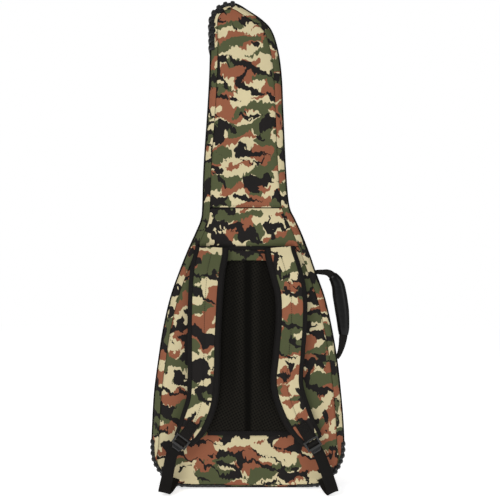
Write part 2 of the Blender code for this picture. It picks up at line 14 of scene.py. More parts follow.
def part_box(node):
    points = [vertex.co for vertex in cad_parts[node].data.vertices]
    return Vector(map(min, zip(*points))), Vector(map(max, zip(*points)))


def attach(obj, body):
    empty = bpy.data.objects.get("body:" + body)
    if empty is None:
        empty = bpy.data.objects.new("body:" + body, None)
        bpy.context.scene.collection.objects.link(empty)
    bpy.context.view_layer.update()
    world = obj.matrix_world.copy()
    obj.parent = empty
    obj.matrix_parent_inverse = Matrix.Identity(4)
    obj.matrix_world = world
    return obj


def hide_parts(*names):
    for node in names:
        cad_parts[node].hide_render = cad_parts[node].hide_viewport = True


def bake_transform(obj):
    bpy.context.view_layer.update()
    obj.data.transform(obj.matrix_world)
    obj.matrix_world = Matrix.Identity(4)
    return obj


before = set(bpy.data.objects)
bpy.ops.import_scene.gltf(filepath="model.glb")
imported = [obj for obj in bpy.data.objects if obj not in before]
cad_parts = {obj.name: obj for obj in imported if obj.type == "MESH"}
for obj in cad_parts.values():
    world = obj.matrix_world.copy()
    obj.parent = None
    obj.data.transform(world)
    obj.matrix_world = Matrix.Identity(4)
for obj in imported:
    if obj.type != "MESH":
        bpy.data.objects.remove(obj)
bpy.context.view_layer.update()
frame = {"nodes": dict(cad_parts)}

# ---------------------------------------------------------------- studio
# A plain pale floor, a white surround and three large soft lights. The camera looks straight at the
# back panel, level with the middle of the bag, from about two metres.


def ink(colour):
    """An sRGB hex colour as linear red, green, blue and 1."""
    parts = [int(colour[k:k + 2], 16) / 255 for k in (1, 3, 5)]
    return (*[p / 12.92 if p <= 0.04045 else ((p + 0.055) / 1.055) ** 2.4 for p in parts], 1.0)


def add_node(tree, kind, links=None, out=0, **settings):
    """Adds a shader node with its settings, its inputs linked or set, and gives back one of its outputs."""
    made = tree.nodes.new("ShaderNode" + kind)
    for name, value in settings.items():
        setattr(made, name, value)
    for socket, value in (links or {}).items():
        if isinstance(value, bpy.types.NodeSocket):
            tree.links.new(value, made.inputs[socket])
        else:
            made.inputs[socket].default_value = value
    return made.outputs[out]


def new_finish(name, roughness, **sockets):
    """A material with its Principled shader, its node tree and its object coordinates."""
    material = bpy.data.materials.new(name)
    material.use_nodes = True
    tree = material.node_tree
    shader = tree.nodes["Principled BSDF"]
    shader.inputs["Roughness"].default_value = roughness
    for socket, value in sockets.items():
        shader.inputs[socket.replace("_", " ")].default_value = value
    place = add_node(tree, "TexCoord", out="Object")
    return material, tree, shader, place


CAMERA_DISTANCE = 1.95
FIELD_AT_BACK = 1.09          # metres across the picture, at the back panel
SENSOR = 36.0
VIEW_MIDDLE = Vector((-0.0033, -0.057, 0.521))
lens = bpy.data.cameras.new("camera")
lens.sensor_width = SENSOR
lens.lens = SENSOR * CAMERA_DISTANCE / FIELD_AT_BACK
camera = bpy.data.objects.new("camera", lens)
camera.location = VIEW_MIDDLE - Vector((0, CAMERA_DISTANCE, 0))
camera.rotation_euler = (math.radians(90), 0, 0)
bpy.context.collection.objects.link(camera)
bpy.context.scene.camera = camera
bpy.context.scene.view_settings.view_transform = "Standard"

surround = bpy.data.worlds.new("studio")
bpy.context.scene.world = surround
surround.use_nodes = True
air = surround.node_tree
seen = add_node(air, "LightPath", out="Is Camera Ray")
glow = add_node(air, "MapRange", {"Value": seen, "To Min": 0.34, "To Max": 1.0})
air.nodes["Background"].inputs["Color"].default_value = (1.0, 1.0, 1.0, 1.0)
air.links.new(glow, air.nodes["Background"].inputs["Strength"])


def soft_light(name, place, target, size, power):
    """A large square area light."""
    data = bpy.data.lights.new(name, "AREA")
    data.size, data.energy = size, power
    lamp = bpy.data.objects.new(name, data)
    lamp.location = place
    lamp.rotation_euler = (Vector(target) - Vector(place)).to_track_quat("-Z", "Y").to_euler()
    bpy.context.collection.objects.link(lamp)


soft_light("key_light", (-1.5, -1.9, 1.9), (0, 0, 0.55), 1.1, 25.0)
soft_light("fill_light", (1.8, -1.7, 0.9), (0, 0, 0.45), 1.3, 10.0)
soft_light("rim_light", (0.6, 1.8, 1.8), (0, 0, 0.6), 1.0, 6.0)

FLOOR_HALF, FLOOR_Z = 4.0, -0.0006
FLOOR_GLOW = 0.66     # lifts the paper to the surround's white, so that no horizon shows
floor_mesh = bmesh.new()
floor_corners = ((-1, -1), (1, -1), (1, 1), (-1, 1))
floor_mesh.faces.new([floor_mesh.verts.new((x * FLOOR_HALF, y * FLOOR_HALF, FLOOR_Z))
                      for x, y in floor_corners])
floor_data = bpy.data.meshes.new("floor")
floor_mesh.to_mesh(floor_data)
floor = bpy.data.objects.new("floor", floor_data)
bpy.context.collection.objects.link(floor)
paper, _, paper_shader, _ = new_finish("white_paper_matt", 0.9)
paper_shader.inputs["Base Color"].default_value = ink("#fafafa")
paper_shader.inputs["Emission Color"].default_value = (1.0, 1.0, 1.0, 1.0)
paper_shader.inputs["Emission Strength"].default_value = FLOOR_GLOW
floor_data.materials.append(paper)

# ---------------------------------------------------------------- rear half: printed cloth over foam
# The deep tray that the guitar lies in. 600-denier polyester, printed in four colours, is sewn over
# foam: a neck panel, a yoke and a body panel, a narrow rolled strip round them and a flat gusset.
SHIFT = Vector((-0.0077, -0.0010, 0.0))   # from the outline's own frame to the object's
BACK_Y, FRONT_Y, NECK_FRONT_Y = -0.056, 0.060, 0.055
REAR_RIM, FRONT_RIM = 0.02995, 0.03925    # where each half's cloth ends, beside the zip
ROLL = 0.016                              # radius of the rolled edge
BASE_Z = 0.003
STRIP, BASE_STRIP = 0.014, 0.0035         # how far inside the outline the panel's seam lies, and at the base
YOKE_LOW, YOKE_HIGH = 0.5290, 0.6130
OUTLINE_STEP = 0.0052                     # between the outline's points
# The outline: height, right edge and left edge, then the points of its two lower corners and of its top
STATIONS = [
    (0.085, 0.2085, -0.2090), (0.145, 0.2065, -0.2070), (0.210, 0.2010, -0.2030), (0.280, 0.1930, -0.1940),
    (0.350, 0.1810, -0.1830), (0.415, 0.1660, -0.1680), (0.470, 0.1465, -0.1490), (0.520, 0.1290, -0.1290),
    (0.560, 0.1130, -0.1110), (0.588, 0.1000, -0.1000), (0.620, 0.0870, -0.0970), (0.700, 0.0800, -0.0945),
    (0.820, 0.0745, -0.0865), (0.900, 0.0710, -0.0820), (0.957, 0.0635, -0.0805), (1.000, 0.0500, -0.0810),
]
BASE_RIGHT = [(0.045, BASE_Z), (0.105, BASE_Z), (0.140, 0.0040), (0.167, 0.0105), (0.190, 0.0330),
              (0.204, 0.0600)]
BASE_LEFT = [(-0.204, 0.0550), (-0.187, 0.0290), (-0.163, 0.0100), (-0.136, 0.0040), (-0.100, BASE_Z),
             (-0.040, BASE_Z)]
HEADSTOCK = [(0.031, 1.0225), (0.001, 1.0435), (-0.028, 1.0600), (-0.053, 1.0580), (-0.072, 1.0440),
             (-0.0805, 1.0250)]


def smooth_curve(points, steps, closed=False):
    """Catmull-Rom curve through points of any dimension, with so many steps to each span."""
    points = [Vector(p) for p in points]
    count = len(points)
    curve = []
    for i in range(count if closed else count - 1):
        b, c = points[i], points[(i + 1) % count]
        a = points[i - 1] if closed or i else b * 2 - c
        d = points[(i + 2) % count] if closed or i + 2 < count else c * 2 - b
        for step in range(steps):
            t = step / steps
            curve.append(0.5 * (2 * b + (c - a) * t + (2 * a - 5 * b + 4 * c - d) * t * t
                                + (3 * b - a - 3 * c + d) * t ** 3))
    if not closed:
        curve.append(points[-1])
    return curve


def evenly(points, spacing, closed=False):
    """The same curve with its points spaced evenly."""
    points = [Vector(p) for p in points]
    ends = points + points[:1] if closed else points
    reach = [0.0]
    for a, b in zip(ends, ends[1:]):
        reach.append(reach[-1] + (b - a).length)
    steps = max(2, round(reach[-1] / spacing))
    rows = np.array([tuple(p) for p in ends])
    at = np.linspace(0.0, reach[-1], steps + 1)
    columns = [np.interp(at, reach, rows[:, k]) for k in range(rows.shape[1])]
    spaced = [Vector(p) for p in zip(*columns)]
    return spaced[:-1] if closed else spaced


def normals_of(points):
    """Outward normals of a closed anticlockwise outline."""
    count = len(points)
    found = []
    for i in range(count):
        along = (points[(i + 1) % count] - points[i - 1]).normalized()
        found.append(Vector((along.y, -along.x)))
    return found


right_side = [(x, z) for z, x, _ in STATIONS]
left_side = [(x, z) for z, _, x in reversed(STATIONS)]
OUTLINE = smooth_curve([*BASE_RIGHT, *right_side, *HEADSTOCK, *left_side, *BASE_LEFT], 10, closed=True)
OUTLINE = evenly(OUTLINE, OUTLINE_STEP, closed=True)
OUTWARD = normals_of(OUTLINE)
OUTLINE_ROWS = np.array([tuple(p) for p in OUTLINE])


def eased(value, start, reach):
    """0 up to start, 1 from start + reach on, with an even ramp between."""
    t = min(max((value - start) / reach, 0.0), 1.0)
    return t * t * (3 - 2 * t)


def seam_inset(p):
    """How far inside the outline the panel's seam lies: it runs out to the edge along the base."""
    return BASE_STRIP + (STRIP - BASE_STRIP) * eased(p.y, 0.030, 0.075)


def rolled_back(p):
    """How far the cloth has turned away from the panel's plane at a place near the outline."""
    away = float(np.hypot(*(OUTLINE_ROWS - np.array(tuple(p))).T).min())
    short = ROLL - min(away, ROLL)
    return ROLL - math.sqrt(max(ROLL * ROLL - short * short, 0.0))


def level(y, z):
    """The depth that y comes to at a height: the front half grows slimmer along the neck."""
    if y <= FRONT_RIM:
        return y
    slim = (NECK_FRONT_Y - FRONT_RIM) / (FRONT_Y - FRONT_RIM)
    return FRONT_RIM + (y - FRONT_RIM) * (1 + (slim - 1) * eased(z, 0.50, 0.14))


def in_bag(x, y, z):
    """A place in the outline's own frame, as one in the object's."""
    return Vector((x, level(y, z), z)) + SHIFT


def show(name, mesh, finish, body, replaced=(), smooth=True, facing=None):
    """Makes a bmesh a piece: its normals and finish, the body that it rides on and the nodes it replaces."""
    bmesh.ops.recalc_face_normals(mesh, faces=mesh.faces)
    if facing is not None:
        total = sum((face.normal.dot(Vector(facing)) * face.calc_area() for face in mesh.faces), 0.0)
        if total < 0:
            bmesh.ops.reverse_faces(mesh, faces=mesh.faces)
    data = bpy.data.meshes.new(name)
    mesh.to_mesh(data)
    mesh.free()
    if smooth:
        data.shade_smooth()
        data.set_sharp_from_angle(angle=math.radians(48))
    data.materials.append(finish)
    piece = bpy.data.objects.new(name, data)
    bpy.context.collection.objects.link(piece)
    if replaced:
        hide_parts(*replaced)
    if body:
        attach(piece, body)
    return piece


def loft(rings, caps=False, joined=False, mesh=None):
    """A skin over closed rings of points, its ends capped, joined or left open; it can add to a mesh."""
    if mesh is None:
        mesh = bmesh.new()
    made = [[mesh.verts.new(p) for p in ring] for ring in rings]
    pairs = list(zip(made, made[1:]))
    if joined:
        pairs.append((made[-1], made[0]))
    count = len(made[0])
    for low, high in pairs:
        for i in range(count):
            j = (i + 1) % count
            mesh.faces.new((low[i], low[j], high[j], high[i]))
    if caps:
        mesh.faces.new(list(reversed(made[0])))
        mesh.faces.new(made[-1])
    return mesh


def net(edge, spacing):
    """A staggered net of triangles inside a closed edge, with each point's distance to it and place on it."""
    ring = np.array([tuple(p) for p in edge])
    following = np.roll(ring, -1, axis=0)
    low, high = ring.min(axis=0), ring.max(axis=0)
    row_height = spacing * 0.87
    inside = []
    for row in range(int((high[1] - low[1]) / row_height) + 1):
        z = low[1] + row * row_height
        start = low[0] + (spacing / 2 if row % 2 else 0.0)
        inside.extend((x, z) for x in np.arange(start, high[0], spacing))
    inside = np.array(inside)
    odd = np.zeros(len(inside), dtype=bool)
    for (ax, az), (bx, bz) in zip(ring, following):
        if az == bz:
            continue
        spans = (az > inside[:, 1]) != (bz > inside[:, 1])
        cross = ax + (inside[:, 1] - az) / (bz - az) * (bx - ax)
        odd ^= spans & (inside[:, 0] < cross)
    inside = inside[odd]
    away = np.array([np.hypot(*(ring - p).T).min() for p in inside])
    inside = inside[away > spacing * 0.6]
    points = [Vector(p) for p in ring] + [Vector(p) for p in inside]
    border = [(i, (i + 1) % len(ring)) for i in range(len(ring))]
    flat, _, faces, *_ = delaunay_2d_cdt(points, border, [], 1, 1e-7)
    steps = np.hypot(*(following - ring).T)
    along = np.concatenate([[0.0], np.cumsum(steps)[:-1]])
    distance, place = [], []
    for p in flat:
        gaps = np.hypot(*(ring - np.array(tuple(p))).T)
        nearest = int(gaps.argmin())
        distance.append(float(gaps[nearest]))
        place.append(float(along[nearest]))
    return flat, faces, distance, place


THREAD = 0.0016   # real 600-denier threads lie 0.5 mm apart: drawn three times as coarse, so that they show


def weave(tree, place):
    """Height of a plain weave: warp threads up the cloth crossed by weft threads, 0 to 1."""
    turns = 2 * math.pi / 20 / THREAD
    across = add_node(tree, "VectorMath", {0: place, 1: (1, 1, 0)}, out="Value", operation="DOT_PRODUCT")
    upward = add_node(tree, "SeparateXYZ", {0: place}, out="Z")
    laid = add_node(tree, "CombineXYZ", {"X": across, "Y": upward})
    warp = add_node(tree, "TexWave", {"Vector": laid, "Scale": turns}, out="Fac", bands_direction="X")
    weft = add_node(tree, "TexWave", {"Vector": laid, "Scale": turns}, out="Fac", bands_direction="Y")
    crossed = add_node(tree, "Math", {0: warp, 1: weft}, operation="ADD")
    return add_node(tree, "Math", {0: crossed, 1: 0.5}, operation="MULTIPLY")


PRINT_TAN, PRINT_RUST, PRINT_GREEN, PRINT_BLACK = "#d2c59d", "#90583f", "#505538", "#1c1918"
PATCH = (0.106, 0.106, 0.046)     # width and height of the print's patches
LOBE = 0.026                      # size of the lobes that the edges of the inks swing in
BRANCH = (0.105, 0.105, 0.056)    # spacing of the black branches
TOOTH = 0.0062                    # spacing of the comb teeth on every edge of the print
STEP = 0.0046                     # size of the small rounded steps that all the edges are drawn with


def printed_polyester(name, cut):
    """600-denier polyester with a four-colour woodland print: flat matt inks with toothed edges on a woven
    ground, and a slight sheen from the coating. Each piece of it is cut from its own place on the roll."""
    material, tree, shader, place = new_finish(name, 0.80, Specular_IOR_Level=0.18)
    cloth = add_node(tree, "Mapping", {"Vector": place, "Location": cut})
    # Edges of the inks: lobes, then comb teeth that stand mostly upright, then small rounded steps
    upright = add_node(tree, "Mapping", {"Vector": cloth, "Scale": (1.0, 1.0, 0.45)})
    ragged = cloth
    for laid, size, swing in ((cloth, LOBE, (LOBE, LOBE, LOBE)), (upright, TOOTH, (0.008, 0.008, 0.012))):
        offset = add_node(tree, "TexNoise", {"Vector": laid, "Scale": 1 / size, "Detail": 0.0}, out="Color")
        offset = add_node(tree, "VectorMath", {0: offset, 1: (0.5, 0.5, 0.5)}, operation="SUBTRACT")
        offset = add_node(tree, "VectorMath", {0: offset, 1: swing}, operation="MULTIPLY")
        ragged = add_node(tree, "VectorMath", {0: ragged, 1: offset}, operation="ADD")
    steps = {"Vector": ragged, "Scale": 1 / STEP, "Randomness": 0.8}
    steps = add_node(tree, "TexVoronoi", steps, out="Position")
    ragged = add_node(tree, "Mix", {0: 0.52, 4: ragged, 5: steps}, out=1, data_type="VECTOR")
    # Rust, then green, in patches of their own over the tan
    patches = add_node(tree, "Mapping", {"Vector": ragged, "Rotation": (0.0, math.radians(18), 0.0)})
    patches = add_node(tree, "Mapping", {"Vector": patches, "Scale": [1 / size for size in PATCH]})
    colour = ink(PRINT_TAN)
    for place_on_roll, scale, least, printed in (((0.0, 0.0, 0.0), 1.55, 0.525, PRINT_RUST),
                                                 ((7.3, 2.1, 4.7), 1.45, 0.548, PRINT_GREEN)):
        patch = add_node(tree, "Mapping", {"Vector": patches, "Location": place_on_roll})
        patch = add_node(tree, "TexNoise", {"Vector": patch, "Scale": scale, "Detail": 0.6})
        patch = add_node(tree, "Math", {0: patch, 1: least}, operation="GREATER_THAN")
        colour = add_node(tree, "Mix", {0: patch, 6: colour, 7: ink(printed)}, out=2, data_type="RGBA")
    # Black branches: thin where two levels of a noise meet, thick where they part, broken here and there
    twigs = add_node(tree, "Mapping", {"Vector": ragged, "Rotation": (0.0, math.radians(-22), 0.0)})
    twigs = add_node(tree, "Mapping", {"Vector": twigs, "Scale": [1 / size for size in BRANCH]})
    ridge = add_node(tree, "TexNoise", {"Vector": twigs, "Scale": 1.9, "Detail": 0.0})
    ridge = add_node(tree, "Math", {0: ridge, 1: 0.5}, operation="SUBTRACT")
    ridge = add_node(tree, "Math", {0: ridge, 1: 0.0}, operation="ABSOLUTE")
    width = add_node(tree, "Mapping", {"Vector": twigs, "Location": (3.1, 8.8, 1.9)})
    width = add_node(tree, "TexNoise", {"Vector": width, "Scale": 2.6, "Detail": 0.0})
    width = add_node(tree, "Math", {0: width, 1: 0.385}, operation="SUBTRACT")
    width = add_node(tree, "Math", {0: width, 1: 0.44}, operation="MULTIPLY")
    black = add_node(tree, "Math", {0: ridge, 1: width}, operation="LESS_THAN")
    colour = add_node(tree, "Mix", {0: black, 6: colour, 7: ink(PRINT_BLACK)}, out=2, data_type="RGBA")
    # The ink sits unevenly on the threads, and the cloth is rubbed paler in broad faint areas
    threads = weave(tree, cloth)
    rubbed = add_node(tree, "TexNoise", {"Vector": cloth, "Scale": 9.0, "Detail": 3.0})
    for uneven, depth in ((threads, 0.16), (rubbed, 0.22)):
        tone = add_node(tree, "Math", {0: uneven, 1: depth, 2: 0.90}, operation="MULTIPLY_ADD")
        colour = add_node(tree, "VectorMath", {0: colour, "Scale": tone}, operation="SCALE")
    tree.links.new(colour, shader.inputs["Base Color"])
    relief = add_node(tree, "Bump", {"Height": threads, "Distance": 0.0003, "Strength": 0.6})
    tree.links.new(relief, shader.inputs["Normal"])
    return material


def undulate(x, z, reach, seed):
    """A smooth random height, -1 to 1, that changes over a reach in metres."""
    return noise.noise(Vector((x / reach, seed, z / reach)))


def cloth_panel(name, edge, panel_y, finish, body, replaced, crown=0.0, outward=-1,
                seam_dip=0.0022, spacing=OUTLINE_STEP):
    """A sewn panel: it dips into its seam, puckers along it and rolls gently over the foam behind it."""
    flat, faces, distance, place = net(edge, spacing)
    mesh = bmesh.new()
    made = []
    for p, away, along in zip(flat, distance, place):
        dip = seam_dip * math.exp(-away / 0.0055)
        pucker = 0.0009 * math.exp(-away / 0.012) * undulate(along, 0.0, 0.0075, 5.0) * min(away / 0.003, 1.0)
        pucker += 0.0011 * undulate(p.x, p.y, 0.060, 1.7) * min(away / 0.02, 1.0)
        pucker += 0.0005 * undulate(p.x * 1.6, p.y, 0.021, 8.1) * min(away / 0.02, 1.0)
        swell = crown * (1 - math.exp(-away / 0.035))
        rise = swell + pucker - dip
        spot = in_bag(p.x, panel_y, p.y)
        spot.y += outward * (rise - rolled_back(p))
        made.append(mesh.verts.new(spot))
    for face in faces:
        mesh.faces.new([made[k] for k in face])
    return show(name, mesh, finish, body, replaced, facing=(0, outward, 0))


def printed_panel(name, edge, panel_y, cut, body, replaced, crown, outward=-1):
    """A sewn panel of the printed cloth, cut from its own place on the roll."""
    finish = printed_polyester(f"printed_polyester_{name}", cut)
    return cloth_panel(name, edge, panel_y, finish, body, replaced, crown, outward)


def cut_outline(low, high):
    """The panel's seam between two heights, closed by straight seams across the bag."""
    gap = 0.0004     # between the panel's cut edge and the strip's
    ring = [p - n * (seam_inset(p) + gap) for p, n in zip(OUTLINE, OUTWARD)]
    kept = []
    count = len(ring)
    for i in range(count):
        a, b = ring[i], ring[(i + 1) % count]
        if low <= a.y <= high:
            kept.append(a)
        for limit in (low, high):
            if (a.y - limit) * (b.y - limit) < 0:
                kept.append(a.lerp(b, (limit - a.y) / (b.y - a.y)))
    kept = [p for i, p in enumerate(kept) if (p - kept[i - 1]).length > 0.0006]
    return evenly(kept, 0.0050, closed=True)


def face_away(data, outward):
    """Turns the normals of a cloth that runs round the bag away from the bag's middle, or towards it."""
    middle_z = 0.35
    total = sum(poly.normal.dot(poly.center - Vector((0, poly.center.y, middle_z))) for poly in data.polygons)
    if (total > 0) != outward:
        data.flip_normals()


def edge_cloth(name, stations_at, cut, body):
    """A cloth strip all round the bag, through the (inset, y) stations at each place, creased in between."""
    rings = []
    across = [[Vector(s) for s in stations_at(p)] for p in OUTLINE]
    reach = len(across[0]) - 1
    for k in range(reach + 1):
        ring = []
        edge = min(k, reach - k) / max(reach / 2, 1)
        for i, (p, n) in enumerate(zip(OUTLINE, OUTWARD)):
            inward, y = across[i][k]
            along = i * OUTLINE_STEP
            plump = 0.0007 * math.sin(math.pi * k / reach)
            crease = 0.0006 * undulate(along, k * 0.004, 0.011, 3.3) * edge
            crease += 0.0007 * undulate(along, k * 0.002, 0.045, 6.1) * edge
            out = -inward + plump + crease
            ring.append(in_bag(p.x + n.x * out, y, p.y + n.y * out))
        rings.append(ring)
    finish = printed_polyester(f"printed_polyester_{name}", cut)
    piece = show(name, loft(rings), finish, body)
    face_away(piece.data, True)
    return piece


def roll(panel_y, way):
    """Stations from the panel's seam round the rolled edge to the gusset, which lies towards +Y or -Y."""
    def stations(p):
        first = math.asin((ROLL - seam_inset(p)) / ROLL)
        found = []
        for k in range(9):
            angle = first + (math.pi / 2 - first) * k / 8
            found.append((ROLL - ROLL * math.sin(angle), panel_y + way * (ROLL - ROLL * math.cos(angle))))
        return found

    return stations


def flat_gusset(start, rim_y):
    """Stations straight across the gusset, the same at every place."""
    return lambda p: [(0.0, y) for y in np.linspace(start, rim_y, 14)]


SEAM_Z_GAP = 0.0012     # half the width of a seam's groove between two panels
SEAM_Y_GAP = 0.0010     # width of the groove that the piping is sewn into
YOKE_PROUD = 0.0009     # the yoke's cloth is lapped over the panel below it
neck_edge = cut_outline(YOKE_HIGH + SEAM_Z_GAP, 2.0)
yoke_edge = cut_outline(YOKE_LOW, YOKE_HIGH - SEAM_Z_GAP)
body_edge = cut_outline(-1.0, YOKE_LOW - SEAM_Z_GAP)
neck_panel = printed_panel("neck_panel_back", neck_edge, BACK_Y, (0.31, 0.2, 0.07), "root",
                           ["back_shell", "back_foam"], 0.0012)
yoke = printed_panel("yoke_cloth", yoke_edge, BACK_Y - YOKE_PROUD, (0.83, 0.5, 0.15), "root",
                     ["yoke_panel"], 0.0012)
body_panel = printed_panel("body_panel_back", body_edge, BACK_Y, (0.10, 0.9, 0.42), "root", [], 0.0008)
back_strip = edge_cloth("edge_strip_back", roll(BACK_Y, 1), (0.55, 0.37, 0.61), "root")
back_gusset = edge_cloth("gusset_back", flat_gusset(BACK_Y + ROLL + SEAM_Y_GAP, REAR_RIM),
                         (0.72, 0.13, 0.23), "root")

# ---------------------------------------------------------------- piping
# Black woven tape folded round a cord and sewn into the outermost seam of each half.
PIPING_RADIUS = 0.0023
PIPING_STAND = 0.0014     # how far the cord's middle stands out from the cloth


def coat(tree, shader, share, under, over, height, depth, strength):
    """Gives a finish two tones, over laid on under by a share, and raises its skin by a height."""
    tones = add_node(tree, "Mix", {0: share, 6: under, 7: over}, out=2, data_type="RGBA")
    tree.links.new(tones, shader.inputs["Base Color"])
    relief = add_node(tree, "Bump", {"Height": height, "Distance": depth, "Strength": strength})
    tree.links.new(relief, shader.inputs["Normal"])


def paler(colour, gain):
    """A hex colour made linear and lifted, for the high spots that catch the light."""
    return (*[value * gain + 0.002 for value in ink(colour)[:3]], 1.0)


def woven_black(name, colour, rib, across=False):
    """Black dyed polyester webbing or tape: matt ribs, paler in worn patches and, as a painted highlight,
    where the threads stand up.
    """
    material, tree, shader, place = new_finish(name, 0.72, Specular_IOR_Level=0.14)
    turns = 2 * math.pi / 20 / rib
    way = "X" if across else "Z"
    bands = add_node(tree, "TexWave", {"Vector": place, "Scale": turns}, out="Fac", bands_direction=way)
    cross = {"Vector": place, "Scale": turns * 0.8}
    cross = add_node(tree, "TexWave", cross, out="Fac", bands_direction="DIAGONAL")
    ribs = add_node(tree, "Math", {0: bands, 1: 0.7}, operation="MULTIPLY")
    height = add_node(tree, "Math", {0: cross, 1: 0.3, 2: ribs}, operation="MULTIPLY_ADD")
    worn = add_node(tree, "TexNoise", {"Vector": place, "Scale": 60.0, "Detail": 3.0})
    # The paler tone: painted highlight on the raised threads, mixed with worn patches
    share = add_node(tree, "Math", {0: worn, 1: 0.6, 2: height}, operation="MULTIPLY_ADD")
    share = add_node(tree, "Math", {0: share, 1: 0.5}, operation="MULTIPLY", use_clamp=True)
    coat(tree, shader, share, ink(colour), paler(colour, 1.7), height, 0.0004, 0.7)
    return material


def round_cord(line, out, y, radius, sides):
    """A closed round cord along an outline's places and normals, with its middle so far out and at y."""
    rings = []
    for p, n in line:
        turn = []
        for k in range(sides):
            angle = math.pi * 2 * k / sides
            reach = out + math.cos(angle) * radius
            lift = Vector((0, math.sin(angle) * radius, 0))
            turn.append(in_bag(p.x + n.x * reach, y, p.y + n.y * reach) + lift)
        rings.append(turn)
    return loft(rings, joined=True)


piping_cloth = woven_black("black_woven_piping", "#080706", 0.0022)
for name, y, body, node in (("piping_back", BACK_Y + ROLL, "root", "back_piping"),
                            ("piping_front", FRONT_Y - ROLL * 0.75, "lid", "front_piping")):
    cord = round_cord(zip(OUTLINE, OUTWARD), PIPING_STAND, y, PIPING_RADIUS, 8)
    show(name, cord, piping_cloth, body, [node])

# ---------------------------------------------------------------- rubber guards
# Black rubber strips with square ribs, moulded to the curve and sewn over the headstock's tip and the
# two lower corners, where the bag knocks on floors and doorways.


def run_along(start, end):
    """The outline's places and outward normals from the point nearest start to the one nearest end."""
    count = len(OUTLINE)
    first = min(range(count), key=lambda i: (OUTLINE[i] - Vector(start)).length)
    last = min(range(count), key=lambda i: (OUTLINE[i] - Vector(end)).length)
    if last < first:
        last += count
    return [(OUTLINE[i % count], OUTWARD[i % count]) for i in range(first, last + 1)]


def walk(run):
    """A function that gives the place and normal at any distance along a run, and the run's length."""
    reach = [0.0]
    for (a, _), (b, _) in zip(run, run[1:]):
        reach.append(reach[-1] + (b - a).length)

    def at(distance):
        i = min(max(int(np.searchsorted(reach, distance)) - 1, 0), len(run) - 2)
        t = (distance - reach[i]) / (reach[i + 1] - reach[i])
        return run[i][0].lerp(run[i + 1][0], t), run[i][1].lerp(run[i + 1][1], t)

    return at, reach[-1]


def moulded_rubber(name, colour, roughness):
    """Black moulded rubber: an even satin skin with a fine grain and a painted sheen, a paler tone in random
    blotches.
    """
    material, tree, shader, place = new_finish(name, roughness, IOR=1.52, Specular_IOR_Level=0.35)
    # Painted sheen: random blotches of a paler tone
    painted_sheen = add_node(tree, "TexNoise", {"Vector": place, "Scale": 45.0, "Detail": 4.0})
    fine = add_node(tree, "TexNoise", {"Vector": place, "Scale": 900.0, "Detail": 2.0})
    coat(tree, shader, painted_sheen, ink(colour), paler(colour, 1.6), fine, 0.00015, 0.5)
    return material


guard_rubber = moulded_rubber("black_guard_rubber", "#090909", 0.52)
RIB_FOOT = 0.0012      # thickness of the strip between its ribs
GUARD_HIGH = 0.018     # the edge nearest the zip
GUARD_MIDDLE = (BACK_Y + ROLL + GUARD_HIGH) / 2
# Height of the strip's profile over one rib, from one valley to the next
RIB_SHAPE = [(0.00, 0.0), (0.10, 0.05), (0.17, 0.62), (0.24, 0.93), (0.34, 1.0), (0.56, 1.0), (0.66, 0.93),
             (0.73, 0.62), (0.80, 0.05), (0.90, 0.0)]
# Each guard's name, the places it runs between, the pitch and height of its ribs, and how many degrees from
# the back panel its edge laps on to the rolled edge
GUARDS = (("headstock_bumper", (-0.024, 1.0605), (-0.0805, 0.957), 0.0150, 0.0068, 30),
          ("base_bumper_left", (-0.2088, 0.107), (-0.050, BASE_Z), 0.0125, 0.0058, 42),
          ("base_bumper_right", (0.105, BASE_Z), (0.2085, 0.100), 0.0125, 0.0058, 42))
for name, start, end, pitch, rib_height, lap in GUARDS:
    at, length = walk(run_along(start, end))
    ribs = round(length / pitch)
    rings = []
    for k in range(ribs):
        for share, height in RIB_SHAPE:
            p, n = at((k + share) * length / ribs)
            # A rib that faces down stops just above the ground
            proud = min(rib_height, (p.y - 0.0002) / max(-n.y, 0.01)) if n.y < 0 else rib_height
            stand = RIB_FOOT + (proud - RIB_FOOT) * height
            soft = 0.0011 * (0.3 + 0.7 * height)
            wide = 0.0012 * height
            turned = []
            for angle in np.radians(np.linspace(lap, 90, 6)):
                rise = stand * (0.55 + 0.45 * math.sin(angle))
                turned.append((ROLL + rise * (0.35 if angle < math.radians(lap + 1) else 1.0), angle))
            turned.append((ROLL - 0.001, math.radians(lap)))
            turned = [(reach * math.sin(angle) - ROLL, BACK_Y + ROLL - reach * math.cos(angle))
                      for reach, angle in turned]
            section = turned[:-1] + [
                (stand + 0.0002 * height, GUARD_MIDDLE), (stand, GUARD_HIGH + wide - soft),
                (stand - soft, GUARD_HIGH + wide), (0.0004, GUARD_HIGH + wide), (-0.0010, BACK_Y + ROLL),
                turned[-1]]
            rings.append([in_bag(p.x + n.x * out, y, p.y + n.y * out) for out, y in section])
    show(name + "_rubber", loft(rings, caps=True), guard_rubber, "root", [name])

# ---------------------------------------------------------------- back pad
# A panel of black spacer mesh over soft foam, sewn on between the shoulder straps. A groove runs up its
# middle and shallow channels beside it; its rounded top is turned in and its lower edge is bound.
PAD_Y = BACK_Y - 0.0003
PAD_HALF = [(0.0, 0.4985), (0.022, 0.4983), (0.040, 0.4970), (0.054, 0.485), (0.072, 0.440), (0.090, 0.330),
            (0.0945, 0.215), (0.0950, 0.1255)]
MESH_HOLE = 0.0060    # real holes lie 2.5 mm apart: drawn over twice as coarse, so that they show
PAD_THICK = 0.0082
GROOVE_DEEP, GROOVE_WIDE = 0.0056, 0.0065
CHANNEL_DEEP, CHANNEL_WIDE = 0.0022, 0.0070
CHANNEL = 0.034       # from the middle groove to the shallow channel on each side


